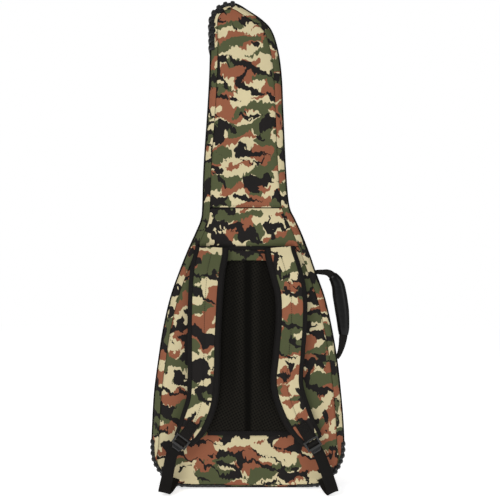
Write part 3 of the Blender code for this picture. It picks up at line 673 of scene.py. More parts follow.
def spacer_mesh(name):
    """Knitted polyester spacer mesh: rows of small round holes on the slant, in a soft black knit."""
    material, tree, shader, place = new_finish(name, 0.95, Specular_IOR_Level=0.1)
    turned = add_node(tree, "Mapping", {"Vector": place, "Rotation": (0.0, math.radians(28), 0.0)})
    flattened = add_node(tree, "Mapping", {"Vector": turned, "Scale": (1.0, 0.0, 1.0)})
    holes = add_node(tree, "TexVoronoi", {"Vector": flattened, "Scale": 1 / MESH_HOLE, "Randomness": 0.0})
    deep = add_node(tree, "MapRange", {"Value": holes, "From Min": 0.20, "From Max": 0.42})
    knit = add_node(tree, "TexNoise", {"Vector": place, "Scale": 700.0, "Detail": 2.0})
    knit = add_node(tree, "Math", {0: knit, 1: 0.5, 2: 0.6}, operation="MULTIPLY_ADD")
    share = add_node(tree, "Math", {0: deep, 1: knit}, operation="MULTIPLY", use_clamp=True)
    # Painted highlight makes the knit paler on the two ridges beside the groove, and painted shade keeps the
    # groove darker; the ridges are paler still towards the base
    from_middle = add_node(tree, "SeparateXYZ", {0: place}, out="X")
    from_middle = add_node(tree, "Math", {0: from_middle, 1: SHIFT.x}, operation="SUBTRACT")
    from_middle = add_node(tree, "Math", {0: from_middle, 1: 0.0}, operation="ABSOLUTE")
    height = add_node(tree, "SeparateXYZ", {0: place}, out="Z")
    ramps = []
    for value, start, end, first, last in (
            (from_middle, 0.003, 0.014, 0.0, 1.0), (from_middle, 0.015, 0.034, 1.0, 0.30),
            (height, 0.13, 0.30, 0.75, 0.0)):
        ramp = {"Value": value, "From Min": start, "From Max": end, "To Min": first, "To Max": last}
        ramps.append(add_node(tree, "MapRange", ramp, interpolation_type="SMOOTHSTEP"))
    ridge, beyond, base = ramps
    beyond = add_node(tree, "Math", {0: beyond, 1: base}, operation="ADD")
    painted_ridge_highlight = add_node(tree, "Math", {0: ridge, 1: beyond}, operation="MULTIPLY", use_clamp=True)
    pale = {0: painted_ridge_highlight, 6: ink("#0c0b07"), 7: ink("#1f1d18")}
    pale = add_node(tree, "Mix", pale, out=2, data_type="RGBA")
    coat(tree, shader, share, ink("#060504"), pale, deep, 0.0006, 0.8)
    return material


pad_half = smooth_curve(PAD_HALF, 6)
pad_edge = evenly([Vector((-p.x, p.y)) for p in pad_half[1:]][::-1] + pad_half, 0.0045, closed=True)
pad_edge.reverse()
flat, faces, distance, place = net(pad_edge, 0.0034)
pad_mesh = bmesh.new()
for p, away in zip(flat, distance):
    swell = PAD_THICK * (1 - (1 - min(away / 0.016, 1.0)) ** 2) ** 0.5
    groove = GROOVE_DEEP * math.exp(-(p.x / GROOVE_WIDE) ** 2)
    channel = CHANNEL_DEEP * math.exp(-((abs(p.x) - CHANNEL) / CHANNEL_WIDE) ** 2)
    settle = 0.0007 * undulate(p.x, p.y, 0.05, 4.4)
    spot = in_bag(p.x, PAD_Y, p.y)
    spot.y -= max(swell - (groove + channel + settle) * min(away / 0.012, 1.0), 0.0004)
    pad_mesh.verts.new(spot)
pad_mesh.verts.ensure_lookup_table()
for face in faces:
    pad_mesh.faces.new([pad_mesh.verts[k] for k in face])
back_pad = show("back_pad_mesh", pad_mesh, spacer_mesh("black_spacer_mesh"), "root", ["back_pad"],
                facing=(0, -1, 0))

# ---------------------------------------------------------------- flat bindings on the back
# Black grosgrain tape, folded over the cut edges: a band over the strap tops and one under the back pad.


def ribbon(path, across, widths, thick, crown=0.35, mesh=None):
    """A flat woven strip along a path, with softly rounded edges; across gives its width direction."""
    count = len(path)
    widths = widths if isinstance(widths, (list, tuple)) else [widths] * count
    rings = []
    for i in range(count):
        along = (path[min(i + 1, count - 1)] - path[max(i - 1, 0)]).normalized()
        side = Vector(across[i]) if isinstance(across, list) else Vector(across)
        side = (side - along * side.dot(along)).normalized()
        up = along.cross(side)
        w, t = widths[i] / 2, thick / 2
        inner = w - thick * crown
        rim = w - thick * 0.1
        section = [(-inner, -t), (-inner * 0.5, -t), (inner * 0.5, -t), (inner, -t), (rim, -t * 0.55),
                   (w, 0.0), (rim, t * 0.55), (inner, t), (inner * 0.5, t), (-inner * 0.5, t), (-inner, t),
                   (-rim, t * 0.55), (-w, 0.0), (-rim, -t * 0.55)]
        rings.append([path[i] + side * a + up * b for a, b in section])
    return loft(rings, caps=True, mesh=mesh)


def stitches(rows, path, up, pitch=0.0046, length=0.0030, radius=0.00042):
    """Adds a row of thread stitches to rows: each a short round-ended stroke just proud of the cloth."""
    spaced = evenly(path, pitch)
    for i, p in enumerate(spaced[:-1]):
        along = (spaced[i + 1] - p).normalized()
        lift = Vector(up)
        side = along.cross(lift).normalized()
        rings = []
        for share, size in ((0.0, 0.35), (0.15, 1.0), (0.85, 1.0), (1.0, 0.35)):
            centre = p + along * (length * share) + lift * (radius * (0.2 if size < 1 else 0.7))
            rings.append([centre + (side * math.cos(a) + lift * math.sin(a)) * radius * size
                          for a in (0.0, math.pi * 0.4, math.pi * 0.8, math.pi * 1.2, math.pi * 1.6)])
        loft(rings, caps=True, mesh=rows)


grosgrain = woven_black("black_grosgrain_binding", "#0e0c0b", 0.0026, across=True)
band_path = [in_bag(x, PAD_Y - 0.0012 - 0.0005 * math.sin(x * 40), 0.52525)
             for x in np.linspace(-0.112, 0.100, 60)]
band = ribbon(band_path, (0, 0, 1), 0.0084, 0.0022)
show("strap_top_band", band, grosgrain, "root", ["strap_band"])
low_path = [in_bag(x, PAD_Y - 0.0022 - 0.0015 * (1 - (x / 0.09) ** 2), 0.1225)
            for x in np.linspace(-0.088, 0.093, 50)]
low_binding = ribbon(low_path, (0, 0, 1), 0.0105, 0.0030)
show("back_pad_lower_binding", low_binding, grosgrain, "root", ["pad_binding"])
thread = woven_black("black_polyester_thread", "#1d1b19", 0.0012)
rows = bmesh.new()
stitches(rows, [in_bag(x, PAD_Y - 0.0044 - 0.0012 * (1 - (x / 0.09) ** 2), 0.1262)
                for x in np.linspace(-0.086, 0.091, 40)], (0, -1, 0))
stitches(rows, [in_bag(x, BACK_Y - YOKE_PROUD, YOKE_HIGH + 0.0040) for x in np.linspace(-0.083, 0.073, 40)],
         (0, -1, 0))
show("stitching_back_panel", rows, thread, "root")

# ---------------------------------------------------------------- shoulder straps
# Curved foam straps faced with the printed cloth. Black tape binds both edges and the lower end, and a
# row of stitches runs down the middle. They are sewn in under the yoke and end in 25 mm webbing stubs.
STRAP_TOP = 0.5265
STRAP_TOP_Y, STRAP_Y = -0.0632, -0.0712              # middle of the strap at its sewn top, and below it
STRAP_TOP_THICK, STRAP_THICK, SETTLE = 0.0070, 0.0110, 0.055
WEBBING, WEB_THICK = 0.025, 0.0022
# Which side each strap is on, then the x, z and width of its middle line from the top down
STRAPS = {
    "left": (-1, [(-0.0785, STRAP_TOP, 0.070), (-0.0800, 0.510, 0.072), (-0.0873, 0.476, 0.074),
                  (-0.0922, 0.412, 0.073), (-0.0946, 0.336, 0.070), (-0.0953, 0.259, 0.068),
                  (-0.0992, 0.198, 0.066), (-0.1165, 0.147, 0.063), (-0.1385, 0.109, 0.046)]),
    "right": (1, [(0.0690, STRAP_TOP, 0.064), (0.0712, 0.510, 0.066), (0.0815, 0.475, 0.068),
                  (0.0928, 0.425, 0.067), (0.0937, 0.360, 0.066), (0.0880, 0.290, 0.067),
                  (0.0850, 0.225, 0.068), (0.1090, 0.155, 0.064), (0.1395, 0.109, 0.046)]),
}
BIND_INNER, BIND_OUTER = 0.0125, 0.0088   # tape seen on the edge next to the back pad, and on the outer edge


INNER_FACE = 0.82                         # the face on the wearer's shoulder is flatter than the outer one


def strap_height(edge, thick):
    """Half thickness of a strap at a distance from its edge: rounded rim, seam under the tape, soft crown."""
    rim = thick / 2 * math.sqrt(1 - (1 - min(edge / 0.0055, 1.0)) ** 2)
    return rim + 0.0016 * (1 - math.exp(-(edge / 0.016) ** 2))


webbing_black = woven_black("black_woven_webbing", "#100e0c", 0.0024)
binding_black = woven_black("black_binding_tape", "#0f0d0c", 0.0024)


def strap_frames(stations):
    """Middle, width, thickness, width direction, run direction and the way out from the bag, down a strap."""
    places = []
    for x, z, width in evenly(smooth_curve(stations, 8), 0.0042):
        settle = min((STRAP_TOP - z) / SETTLE, 1.0)
        middle = in_bag(x, STRAP_TOP_Y + (STRAP_Y - STRAP_TOP_Y) * settle, z)
        places.append((middle, width, STRAP_TOP_THICK + (STRAP_THICK - STRAP_TOP_THICK) * settle))
    frames = []
    for i, (middle, width, thick) in enumerate(places):
        along = (places[min(i + 1, len(places) - 1)][0] - places[max(i - 1, 0)][0]).normalized()
        side = (Vector((1, 0, 0)) - along * along.x).normalized()
        up = along.cross(side)
        frames.append((middle, width, thick, side, along, up if up.y <= 0 else -up))
    return frames


def strap_pad(name, frames, cut, body, node):
    """The padded strap itself, one closed skin from edge to edge, front and back."""
    columns = 30
    rings = []
    for middle, width, thick, side, _, up in frames:
        ring = []
        for k in range(columns + 1):
            u = -math.cos(math.pi * k / columns)
            edge = width / 2 * (1 - abs(u))
            height = strap_height(edge, thick)
            height -= 0.0017 * math.exp(-((u * width / 2) / 0.0022) ** 2)
            height += 0.0008 * undulate(middle.x + u * 0.03, middle.z, 0.024, 9.0) * min(edge / 0.01, 1.0)
            ring.append(middle + side * (u * width / 2) + up * height)
        for k in range(columns - 1, 0, -1):
            u = -math.cos(math.pi * k / columns)
            edge = width / 2 * (1 - abs(u))
            ring.append(middle + side * (u * width / 2) - up * strap_height(edge, thick) * INNER_FACE)
        rings.append(ring)
    finish = printed_polyester(f"printed_polyester_{name}", cut)
    return show(name, loft(rings, caps=True), finish, body, [node])


def strap_binding(name, frames, sign, body, rows):
    """Tape folded round both edges of a strap, with its stitches added to rows."""
    mesh = bmesh.new()
    for hand in (-1, 1):
        full = BIND_INNER if hand == -sign else BIND_OUTER
        rings = []
        seam = []
        for middle, width, thick, side, _, up in frames:
            shown = full * min(width / 0.064, 1.0) ** 0.8
            section = []
            for edge, lift in ((shown, 0.0002), (shown - 0.0006, 0.0009), (shown * 0.6, 0.0010),
                               (0.0032, 0.0010), (0.0012, 0.0010), (0.0, 0.0009)):
                rise = strap_height(edge, thick) + lift
                section.append(middle + side * hand * (width / 2 - edge) + up * rise)
            section.append(middle + side * hand * (width / 2 + 0.0012))
            for edge, lift in ((0.0, 0.0009), (0.0012, 0.0010), (0.0032, 0.0010), (shown, 0.0009)):
                drop = strap_height(edge, thick) * INNER_FACE + lift
                section.append(middle + side * hand * (width / 2 - edge) - up * drop)
            section.append(middle + side * hand * (width / 2 - shown))
            rings.append(section)
            seam.append(section[1] + side * -hand * -0.0014 + up * 0.0001)
        loft(rings, caps=True, mesh=mesh)
        stitches(rows, seam, (0, -1, 0))
    show(name, mesh, binding_black, body)


def with_modifiers(piece):
    """A new mesh of a piece as its modifiers leave it."""
    return bpy.data.meshes.new_from_object(piece.evaluated_get(bpy.context.evaluated_depsgraph_get()))


def fused(name, blocks, voxel, finish, body, replaced, smoothing=2):
    """A moulded or cast piece: blocks (middle, axes, size) run together with soft fillets where they meet."""
    mesh = bmesh.new()
    for middle, axes, size in blocks:
        for vert in bmesh.ops.create_cube(mesh, size=1.0)["verts"]:
            a, b, c = (vert.co[k] * size[k] for k in range(3))
            vert.co = middle + axes[0] * a + axes[1] * b + axes[2] * c
    data = bpy.data.meshes.new(name)
    bmesh.ops.recalc_face_normals(mesh, faces=mesh.faces)
    mesh.to_mesh(data)
    mesh.free()
    rough = bpy.data.objects.new(name + "_rough", data)
    bpy.context.collection.objects.link(rough)
    remesh = rough.modifiers.new("remesh", "REMESH")
    remesh.mode, remesh.voxel_size = "VOXEL", voxel
    soften = rough.modifiers.new("soften", "SMOOTH")
    soften.iterations, soften.factor = smoothing, 0.5
    shaped = with_modifiers(rough)
    bpy.data.objects.remove(rough, do_unlink=True)
    solid = bmesh.new()
    solid.from_mesh(shaped)
    bpy.data.meshes.remove(shaped)
    return show(name, solid, finish, body, replaced)


def moulded_acetal(name):
    """Injection-moulded black acetal: a clean glossy skin, the faintest flow ripple and a painted highlight,
    pale grey, along its sharp edges.
    """
    material, tree, shader, place = new_finish(name, 0.22, IOR=1.48)
    flow = add_node(tree, "TexNoise", {"Vector": place, "Scale": 80.0, "Detail": 2.0})
    black = add_node(tree, "Mix", {0: flow, 6: ink("#0e0e0e"), 7: ink("#191918")}, out=2, data_type="RGBA")
    # Painted highlight: where the surface bends sharply, at the edges, the colour turns pale grey
    corner = add_node(tree, "NewGeometry", out="Pointiness")
    edge = add_node(tree, "MapRange", {"Value": corner, "From Min": 0.535, "From Max": 0.585})
    ripple = add_node(tree, "TexNoise", {"Vector": place, "Scale": 300.0, "Detail": 1.0})
    coat(tree, shader, edge, black, ink("#9a968f"), ripple, 0.0001, 0.3)
    return material


acetal = moulded_acetal("black_moulded_acetal")
# Top of each webbing stub, middle of its ladder-lock, where the loose loop turns and how it leans there;
# then the place on the roll that each strap's cloth is cut from
STUBS = {"left": ((-0.1160, 0.1475), (-0.1445, 0.1082), (-0.1770, 0.24)),
         "right": ((0.1140, 0.1463), (0.1397, 0.1033), (0.1790, 0.50))}
CUTS = {"left": (0.22, 0.71, 0.33), "right": (0.64, 0.28, 0.52)}
for side_name, (sign, stations) in STRAPS.items():
    body = f"strap_{side_name}"
    frames = strap_frames(stations)
    pad = strap_pad(f"shoulder_strap_{side_name}", frames, CUTS[side_name], body, f"strap_pad_{side_name}")
    rows = bmesh.new()
    strap_binding(f"strap_binding_{side_name}", frames, sign, body, rows)
    centre_line = [frame[0] + Vector((0, -frame[2] / 2 - 0.0001, 0)) for frame in frames[4:-4]]
    stitches(rows, centre_line, (0, -1, 0), radius=0.0005)
    # Tape over the strap's lower end
    middle, width, thick, side, along, _ = frames[-1]
    end_path = [middle + side * u * (width / 2 - 0.001) + along * 0.0006 for u in np.linspace(-1, 1, 14)]
    tape = ribbon(end_path, along, 0.0085, thick + 0.0022, crown=0.45)
    show(f"strap_end_binding_{side_name}", tape, binding_black, body)

    # Webbing stub, lapped on the strap's end and sewn with a crossed square
    (stub_x, stub_z), (lock_x, lock_z), (turn_x, tilt) = STUBS[side_name]
    stub_top = Vector((stub_x, STRAP_Y - STRAP_THICK / 2 - 0.0026, stub_z)) + SHIFT
    down = Vector((lock_x - stub_x, 0, lock_z - stub_z))
    stub_long = down.length - 0.0055
    down.normalize()
    cross = Vector((-down.z, 0, down.x))
    stub_path = [stub_top + down * reach + Vector((0, back, 0)) for reach, back in (
        (-0.001, 0.0), (0.014, 0.0), (stub_long - 0.009, 0.0), (stub_long - 0.003, 0.0018),
        (stub_long, 0.0040))]
    stub_path = smooth_curve(stub_path, 5)
    show(f"strap_stub_webbing_{side_name}", ribbon(stub_path, cross, WEBBING, WEB_THICK), webbing_black, body,
         [f"strap_stub_{side_name}"])
    corners = [stub_top + down * a + cross * b + Vector((0, -WEB_THICK / 2, 0))
               for a, b in ((0.003, -0.0095), (0.003, 0.0095), (0.024, 0.0095), (0.024, -0.0095))]
    for first, last in ((0, 1), (1, 2), (2, 3), (3, 0), (0, 2), (1, 3)):
        stitches(rows, [corners[first], corners[last]], (0, -1, 0), pitch=0.0034, length=0.0024)
    show(f"strap_stitching_{side_name}", rows, thread, body)

    # Ladder-lock: side rails, three cross bars and a half-round thumb tab, moulded in one
    lock_middle = Vector((lock_x, stub_top.y + 0.0020, lock_z)) + SHIFT
    axes = (cross, down, Vector((0, -1, 0)))
    blocks = [(lock_middle + cross * hand * 0.0150, axes, (0.0042, 0.0225, 0.0062)) for hand in (-1, 1)]
    for along_lock, depth, bar, lift in ((-0.0095, 0.0052, 0.0036, 0.0), (-0.0008, 0.0042, 0.0036, -0.0008),
                                         (0.0088, 0.0050, 0.0044, 0.0006)):
        blocks.append((lock_middle + down * along_lock - Vector((0, lift, 0)), axes, (0.0300, bar, depth)))
    for step in range(4):
        tab_width = 0.0230 * math.sqrt(1 - (step / 4.6) ** 2)
        tab_at = lock_middle + down * (0.0118 + step * 0.0021) + Vector((0, -0.0012 - step * 0.0006, 0))
        blocks.append((tab_at, axes, (tab_width, 0.0030, 0.0022)))
    fused(f"ladder_lock_frame_{side_name}", blocks, 0.00060, acetal, body,
          [f"ladder_lock_{side_name}"])

    # Adjusting webbing: over the ladder-lock's bar, down in a loose loop and back to the base seam
    lock_end = lock_middle + down * 0.0125
    turn_low = Vector((turn_x, -0.1120, 0.0085)) + SHIFT
    lower = [start + down * reach + Vector((0, back, 0)) for start, reach, back in (
        (lock_middle, -0.0055, 0.0014), (lock_middle, -0.001, -0.0022), (lock_middle, 0.0055, 0.0006),
        (lock_end, 0.0, 0.0028), (lock_end, 0.020, -0.003))]
    lower.append(turn_low.lerp(lock_end, 0.30) + Vector((sign * 0.003, 0.0040, 0)))
    lower += [turn_low + Vector((-sign * inward, back, rise)) for inward, back, rise in (
        (0.0, 0.0006, 0.0036), (0.0, 0.0046, -0.0016), (0.0065, 0.0210, 0.0010), (0.0130, 0.0400, 0.0080))]
    lower.append(Vector((turn_x - sign * 0.0170, BACK_Y - 0.0012, 0.0240)) + SHIFT)
    route = smooth_curve(lower, 7)
    leans = []
    for k in range(len(route)):
        share = min(max((k - 21) / 20, 0.0), 1.0)
        leans.append(cross.lerp(Vector((1, 0, sign * tilt)), share))
    widths = [WEBBING * (1.0 if k < 50 else 1.0 - 0.08 * (k - 50) / 20) for k in range(len(route))]
    loop = ribbon(route, leans, widths, WEB_THICK)
    loop = show(f"adjusting_webbing_{side_name}", loop, webbing_black, None,
                [f"lower_webbing_{side_name}", f"web_tab_{side_name}"])
    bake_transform(loop)

# ---------------------------------------------------------------- carry handle
# A loop of webbing from two points on the gusset, through a padded grip of satin-coated fabric that is
# stitched down both its edges. It swings on its two sewn ends.
HANDLE_Y = BACK_Y + 0.026
HANDLE_POINTS = [(0.1492, 0.4722), (0.1620, 0.4722), (0.1805, 0.4690), (0.1970, 0.4480), (0.2030, 0.4180),
                 (0.2085, 0.3800), (0.2110, 0.3450), (0.2095, 0.3230), (0.2055, 0.3030), (0.2005, 0.2890),
                 (0.1962, 0.2822)]
# The webbing's width at shares of its length: folded narrow where it is sewn, full in the hand
STRAND = [(0.0, 0.0095), (0.08, 0.0120), (0.18, 0.0185), (0.66, 0.0200), (0.80, 0.0180), (1.0, 0.0085)]
GRIP_LOW, GRIP_HIGH = 0.3310, 0.4640
GRIP_SHARES, GRIP_WIDTHS = (0.0, 0.12, 0.35, 0.6, 0.9, 1.0), (0.0170, 0.0235, 0.0275, 0.0270, 0.0215, 0.0165)
GRIP_DEEP, FLANGE = 0.0150, 0.0022
route = evenly([in_bag(x, HANDLE_Y, z) for x, z in smooth_curve(HANDLE_POINTS, 10)], 0.0036)
flat_ways = []
for i in range(len(route)):
    run = (route[min(i + 1, len(route) - 1)] - route[max(i - 1, 0)]).normalized()
    flat_ways.append(Vector((-run.z, 0, run.x)))
widths = [float(np.interp(i / (len(route) - 1), *zip(*STRAND))) for i in range(len(route))]
strand = ribbon(route, flat_ways, widths, 0.0028)
show("handle_loop_webbing", strand, webbing_black, "handle", ["handle_webbing"])


def coated_fabric(name):
    """Polyurethane-coated nylon: a smooth satin skin that carries a long soft highlight."""
    material, tree, shader, place = new_finish(name, 0.30, IOR=1.5, Specular_IOR_Level=0.22)
    cloudy = add_node(tree, "TexNoise", {"Vector": place, "Scale": 40.0, "Detail": 3.0})
    creases = add_node(tree, "Mapping", {"Vector": place, "Scale": (1.0, 1.0, 3.0)})
    creases = add_node(tree, "TexNoise", {"Vector": creases, "Scale": 90.0, "Detail": 2.0})
    coat(tree, shader, cloudy, ink("#050505"), ink("#0d0c0c"), creases, 0.0006, 0.5)
    return material


grip_run = [(p, w) for p, w in zip(route, flat_ways) if GRIP_LOW < p.z < GRIP_HIGH and p.x > 0.17]
rings = []
grip_seams = []
for i, (p, way) in enumerate(grip_run):
    close = min(i, len(grip_run) - 1 - i)
    plump = 0.62 + 0.38 * math.sqrt(1 - (1 - min(close / 4.5, 1.0)) ** 2)
    wide = float(np.interp(i / (len(grip_run) - 1), GRIP_SHARES, GRIP_WIDTHS))
    section = []
    for k in range(24):
        angle = 2 * math.pi * k / 24
        c, s = math.cos(angle), math.sin(angle)
        body_part = wide / 2 * c
        deep = GRIP_DEEP / 2 * plump * math.copysign(abs(s) ** 0.75, s)
        # The sleeve's two halves meet in a flat flange along each edge
        if abs(c) > 0.98:
            body_part = math.copysign(wide / 2 + FLANGE, c)
        elif abs(c) > 0.93:
            body_part, deep = math.copysign(wide / 2 + FLANGE * 0.8, c), math.copysign(0.0012, s)
        elif abs(c) > 0.83:
            body_part, deep = math.copysign(wide / 2 * 0.97, c), math.copysign(0.0020, s)
        ripple = 1 + 0.025 * undulate(p.z, angle, 0.012, 2.0)
        section.append(p + way * body_part + Vector((0, 1, 0)) * deep * ripple)
    rings.append(section)
    grip_seams.append((p, way, wide / 2 + 0.0004))
coated_nylon = coated_fabric("black_coated_nylon")
grip = show("handle_grip_sleeve", loft(rings, caps=True), coated_nylon, "handle",
            ["handle_grip"])
rows = bmesh.new()
for hand in (-1, 1):
    seam = [p + way * hand * reach + Vector((0, -0.0019, 0)) for p, way, reach in grip_seams[1:-1]]
    stitches(rows, seam, (0, -1, 0))
show("handle_stitching", rows, thread, "handle")
TAB_WIDTH, TAB_THICK = 0.0110, 0.0045
for name, place in (("handle_tab_upper", (0.1460, 0.4715)), ("handle_tab_lower", (0.1928, 0.2820))):
    i = min(range(len(OUTLINE)), key=lambda k: (OUTLINE[k] - Vector(place)).length)
    out = Vector((OUTWARD[i].x, 0, OUTWARD[i].y))
    seam = in_bag(OUTLINE[i].x, HANDLE_Y, OUTLINE[i].y)
    up_edge = Vector((-out.z, 0, out.x))
    path = [seam + out * reach for reach in (0.0002, 0.0014, 0.0028, 0.0042)]
    widths = [TAB_WIDTH * share for share in (1.12, 1.06, 1.0, 0.96)]
    patch = ribbon(path, up_edge, widths, TAB_THICK, crown=0.5)
    show(name + "_patch", patch, webbing_black, "root", [name])

# ---------------------------------------------------------------- front half: printed cloth over foam
# The shallow half that opens like a book. The same cloth and foam as the rear half, slimmer along the
# neck, with two zipped pockets sewn on its face.
front_edge = cut_outline(-1.0, 2.0)
front_panel = printed_panel("panel_front", front_edge, FRONT_Y, (0.47, 0.66, 0.18), "lid",
                            ["front_shell", "front_foam"], 0.0006, outward=1)
front_strip = edge_cloth("edge_strip_front", roll(FRONT_Y, -1), (0.15, 0.85, 0.77), "lid")
front_gusset = edge_cloth("gusset_front", flat_gusset(FRONT_Y - ROLL - SEAM_Y_GAP, FRONT_RIM),
                          (0.93, 0.42, 0.05), "lid")

# ---------------------------------------------------------------- pockets
# Unpadded bellows pockets of the printed cloth, piped round the face, each closed by a coil zip that is
# let into the face near its top.
POCKET_BASE = FRONT_Y + 0.0006
POCKET_CORNER = 0.022
BODY_POCKET_DEPTH, ACCESSORY_DEPTH = 0.034, 0.022


def rounded_corners(corners, radius):
    """A closed outline through corners, each turned into an arc of the same radius."""
    steps = 7
    outline = []
    count = len(corners)
    for i in range(count):
        before, here, after = (Vector(corners[(i + k) % count]) for k in (-1, 0, 1))
        inward, onward = (before - here).normalized(), (after - here).normalized()
        half_turn = inward.angle(onward) / 2
        middle = here + (inward + onward).normalized() * radius / math.sin(half_turn)
        start = here + inward * radius / math.tan(half_turn) - middle
        sweep = start.angle_signed(here + onward * radius / math.tan(half_turn) - middle)
        for step in range(steps + 1):
            outline.append(middle + Matrix.Rotation(-sweep * step / steps, 2) @ start)
    return outline


def row_of_teeth(places, size):
    """Zip teeth: a small block with its outer edges taken off at each (middle, along, out, across)."""
    length, high, wide = size
    teeth = bmesh.new()
    for middle, along, out, across in places:
        corners = []
        for rise, trim in ((-0.5, 1.0), (0.1, 1.0), (0.5, 0.55)):
            for a, c in ((-0.5, -0.5), (0.5, -0.5), (0.5, 0.5), (-0.5, 0.5)):
                reach = along * a * length * trim + across * c * wide * trim
                corners.append(teeth.verts.new(middle + out * rise * high + reach))
        for k in range(4):
            j = (k + 1) % 4
            teeth.faces.new((corners[k], corners[j], corners[4 + j], corners[4 + k]))
            teeth.faces.new((corners[4 + k], corners[4 + j], corners[8 + j], corners[8 + k]))
        teeth.faces.new((corners[3], corners[2], corners[1], corners[0]))
        teeth.faces.new(corners[8:12])
    return teeth


def enamelled_metal(name):
    """Die-cast zinc under black enamel: a thin hard gloss, rubbed to grey where hands touch it."""
    material, tree, shader, place = new_finish(name, 0.32, Coat_Weight=0.3, Coat_Roughness=0.2)
    rubbed = add_node(tree, "TexNoise", {"Vector": place, "Scale": 260.0, "Detail": 3.0})
    rubbed = add_node(tree, "MapRange", {"Value": rubbed, "From Min": 0.60, "From Max": 0.72})
    skin = add_node(tree, "TexNoise", {"Vector": place, "Scale": 500.0, "Detail": 1.0})
    coat(tree, shader, rubbed, ink("#1a1a1b"), ink("#4a4a4c"), skin, 0.0001, 0.3)
    return material


tape_cloth = woven_black("black_zip_tape", "#171615", 0.0016)
coil_nylon = moulded_rubber("black_nylon_coil", "#1c1b1b", 0.40)
slider_metal = enamelled_metal("black_enamelled_zinc")
pull_rubber = moulded_rubber("black_pull_rubber", "#191818", 0.50)
# Each pocket's name and its zip's node, depth, height of the zip, the place on the roll that its cloth is cut
# from, its corners and the size that it is cut to
POCKETS = (
    ("body_pocket", "body_pocket_zip", BODY_POCKET_DEPTH, 0.300, (0.36, 0.52, 0.89),
     [(-0.158, 0.042), (0.158, 0.042), (0.158, 0.190), (0.139, 0.330), (-0.139, 0.330), (-0.158, 0.190)],
     (0.316, 0.288)),
    ("accessory_pocket", "accessory_pocket_zip", ACCESSORY_DEPTH, 0.452, (0.78, 0.09, 0.27),
     [(-0.124, 0.352), (0.124, 0.352), (0.088, 0.484), (-0.088, 0.484)], (0.248, 0.132)),
)
FACE_ROLL = 0.010                                     # radius of the face's rolled edge
CORD_RADIUS, CORD_STAND = 0.0014, 0.0009
TAPE_WIDTH, TAPE_THICK, TAPE_MIDDLE = 0.0106, 0.0011, 0.0068
COIL_PITCH, COIL_SIZE = 0.0026, (0.0021, 0.0014, 0.0036)
for name, zip_node, depth, zip_z, cut, corners, cut_size in POCKETS:
    # Gusset: straight out from the front panel, then rolled into the face
    outline = evenly(rounded_corners(corners, POCKET_CORNER), OUTLINE_STEP, closed=True)
    normals = normals_of(outline)
    finish = printed_polyester(f"printed_polyester_{name}", cut)
    roll_y = POCKET_BASE + depth - FACE_ROLL
    stations = [(0.0, POCKET_BASE + reach) for reach in np.linspace(0.0, depth - FACE_ROLL, 6)]
    for k in range(1, 6):
        angle = math.pi / 2 * k / 5
        stations.append((FACE_ROLL * (1 - math.cos(angle)), roll_y + FACE_ROLL * math.sin(angle)))
    rings = []
    for k, (inward, y) in enumerate(stations):
        ring = []
        slack = math.sin(math.pi * min(k / 6, 1.0))
        for i, (p, n) in enumerate(zip(outline, normals)):
            crease = slack * (0.0012 * undulate(i * OUTLINE_STEP, k * 0.004, 0.020, 2.2) - 0.0010)
            out = crease - inward
            ring.append(in_bag(p.x + n.x * out, y, p.y + n.y * out))
        rings.append(ring)
    gusset = show(f"{name}_gusset", loft(rings), finish, "lid", [])
    # Face: slack cloth that lies flatter beside the seam and under the zip
    face_edge = evenly([p - n * (FACE_ROLL + 0.0003) for p, n in zip(outline, normals)], 0.0050, closed=True)
    flat, faces, distance, _ = net(face_edge, OUTLINE_STEP)
    mesh = bmesh.new()
    made = []
    for p, away in zip(flat, distance):
        calm = min(away / 0.02, 1.0) * min(abs(p.y - zip_z) / 0.02, 1.0)
        rise = 0.0020 * (1 - math.exp(-away / 0.05)) - 0.0008 * math.exp(-away / 0.004)
        rise += calm * (0.0018 * undulate(p.x, p.y, 0.055, 3.9) + 0.0006 * undulate(p.x, p.y, 0.018, 7.7))
        made.append(mesh.verts.new(in_bag(p.x, POCKET_BASE + depth + rise, p.y)))
    for face in faces:
        mesh.faces.new([made[k] for k in face])
    face = show(f"{name}_face", mesh, finish, "lid", [name], facing=(0, 1, 0))
    cord = round_cord(zip(outline, normals), CORD_STAND - FACE_ROLL * 0.28,
                      POCKET_BASE + depth - FACE_ROLL * 0.26 + CORD_STAND, CORD_RADIUS, 7)
    show(f"{name}_piping", cord, piping_cloth, "lid")
    # Zip: two tapes laid on the face, a coil between them and stitched edges
    low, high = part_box(zip_node)
    tape_y = POCKET_BASE + depth + SHIFT.y + 0.0026
    mesh = bmesh.new()
    for hand in (-1, 1):
        path = [Vector((x, tape_y + 0.0004 * math.sin(x * 60), zip_z + hand * TAPE_MIDDLE))
                for x in np.linspace(low[0], high[0], 40)]
        ribbon(path, (0, 0, 1), TAPE_WIDTH, TAPE_THICK, mesh=mesh)
    show(f"{name}_zip_tapes", mesh, tape_cloth, "lid", [zip_node])
    places = []
    for k in range(int((high[0] - low[0] - 0.006) / COIL_PITCH)):
        hand = 1 if k % 2 else -1
        places.append((Vector((low[0] + 0.003 + k * COIL_PITCH, tape_y + 0.0009, zip_z + hand * 0.0007)),
                       Vector((1, 0, 0)), Vector((0, 1, 0)), Vector((0, 0, 1))))
    show(f"{name}_zip_teeth", row_of_teeth(places, COIL_SIZE), coil_nylon, "lid", smooth=False)
    rows = bmesh.new()
    for edge in (-0.0112, 0.0112):
        stitches(rows, [Vector((x, tape_y + 0.0006, zip_z + edge))
                        for x in np.linspace(low[0] + 0.002, high[0] - 0.002, 30)], (0, 1, 0))
    show(f"{name}_stitching", rows, thread, "lid")

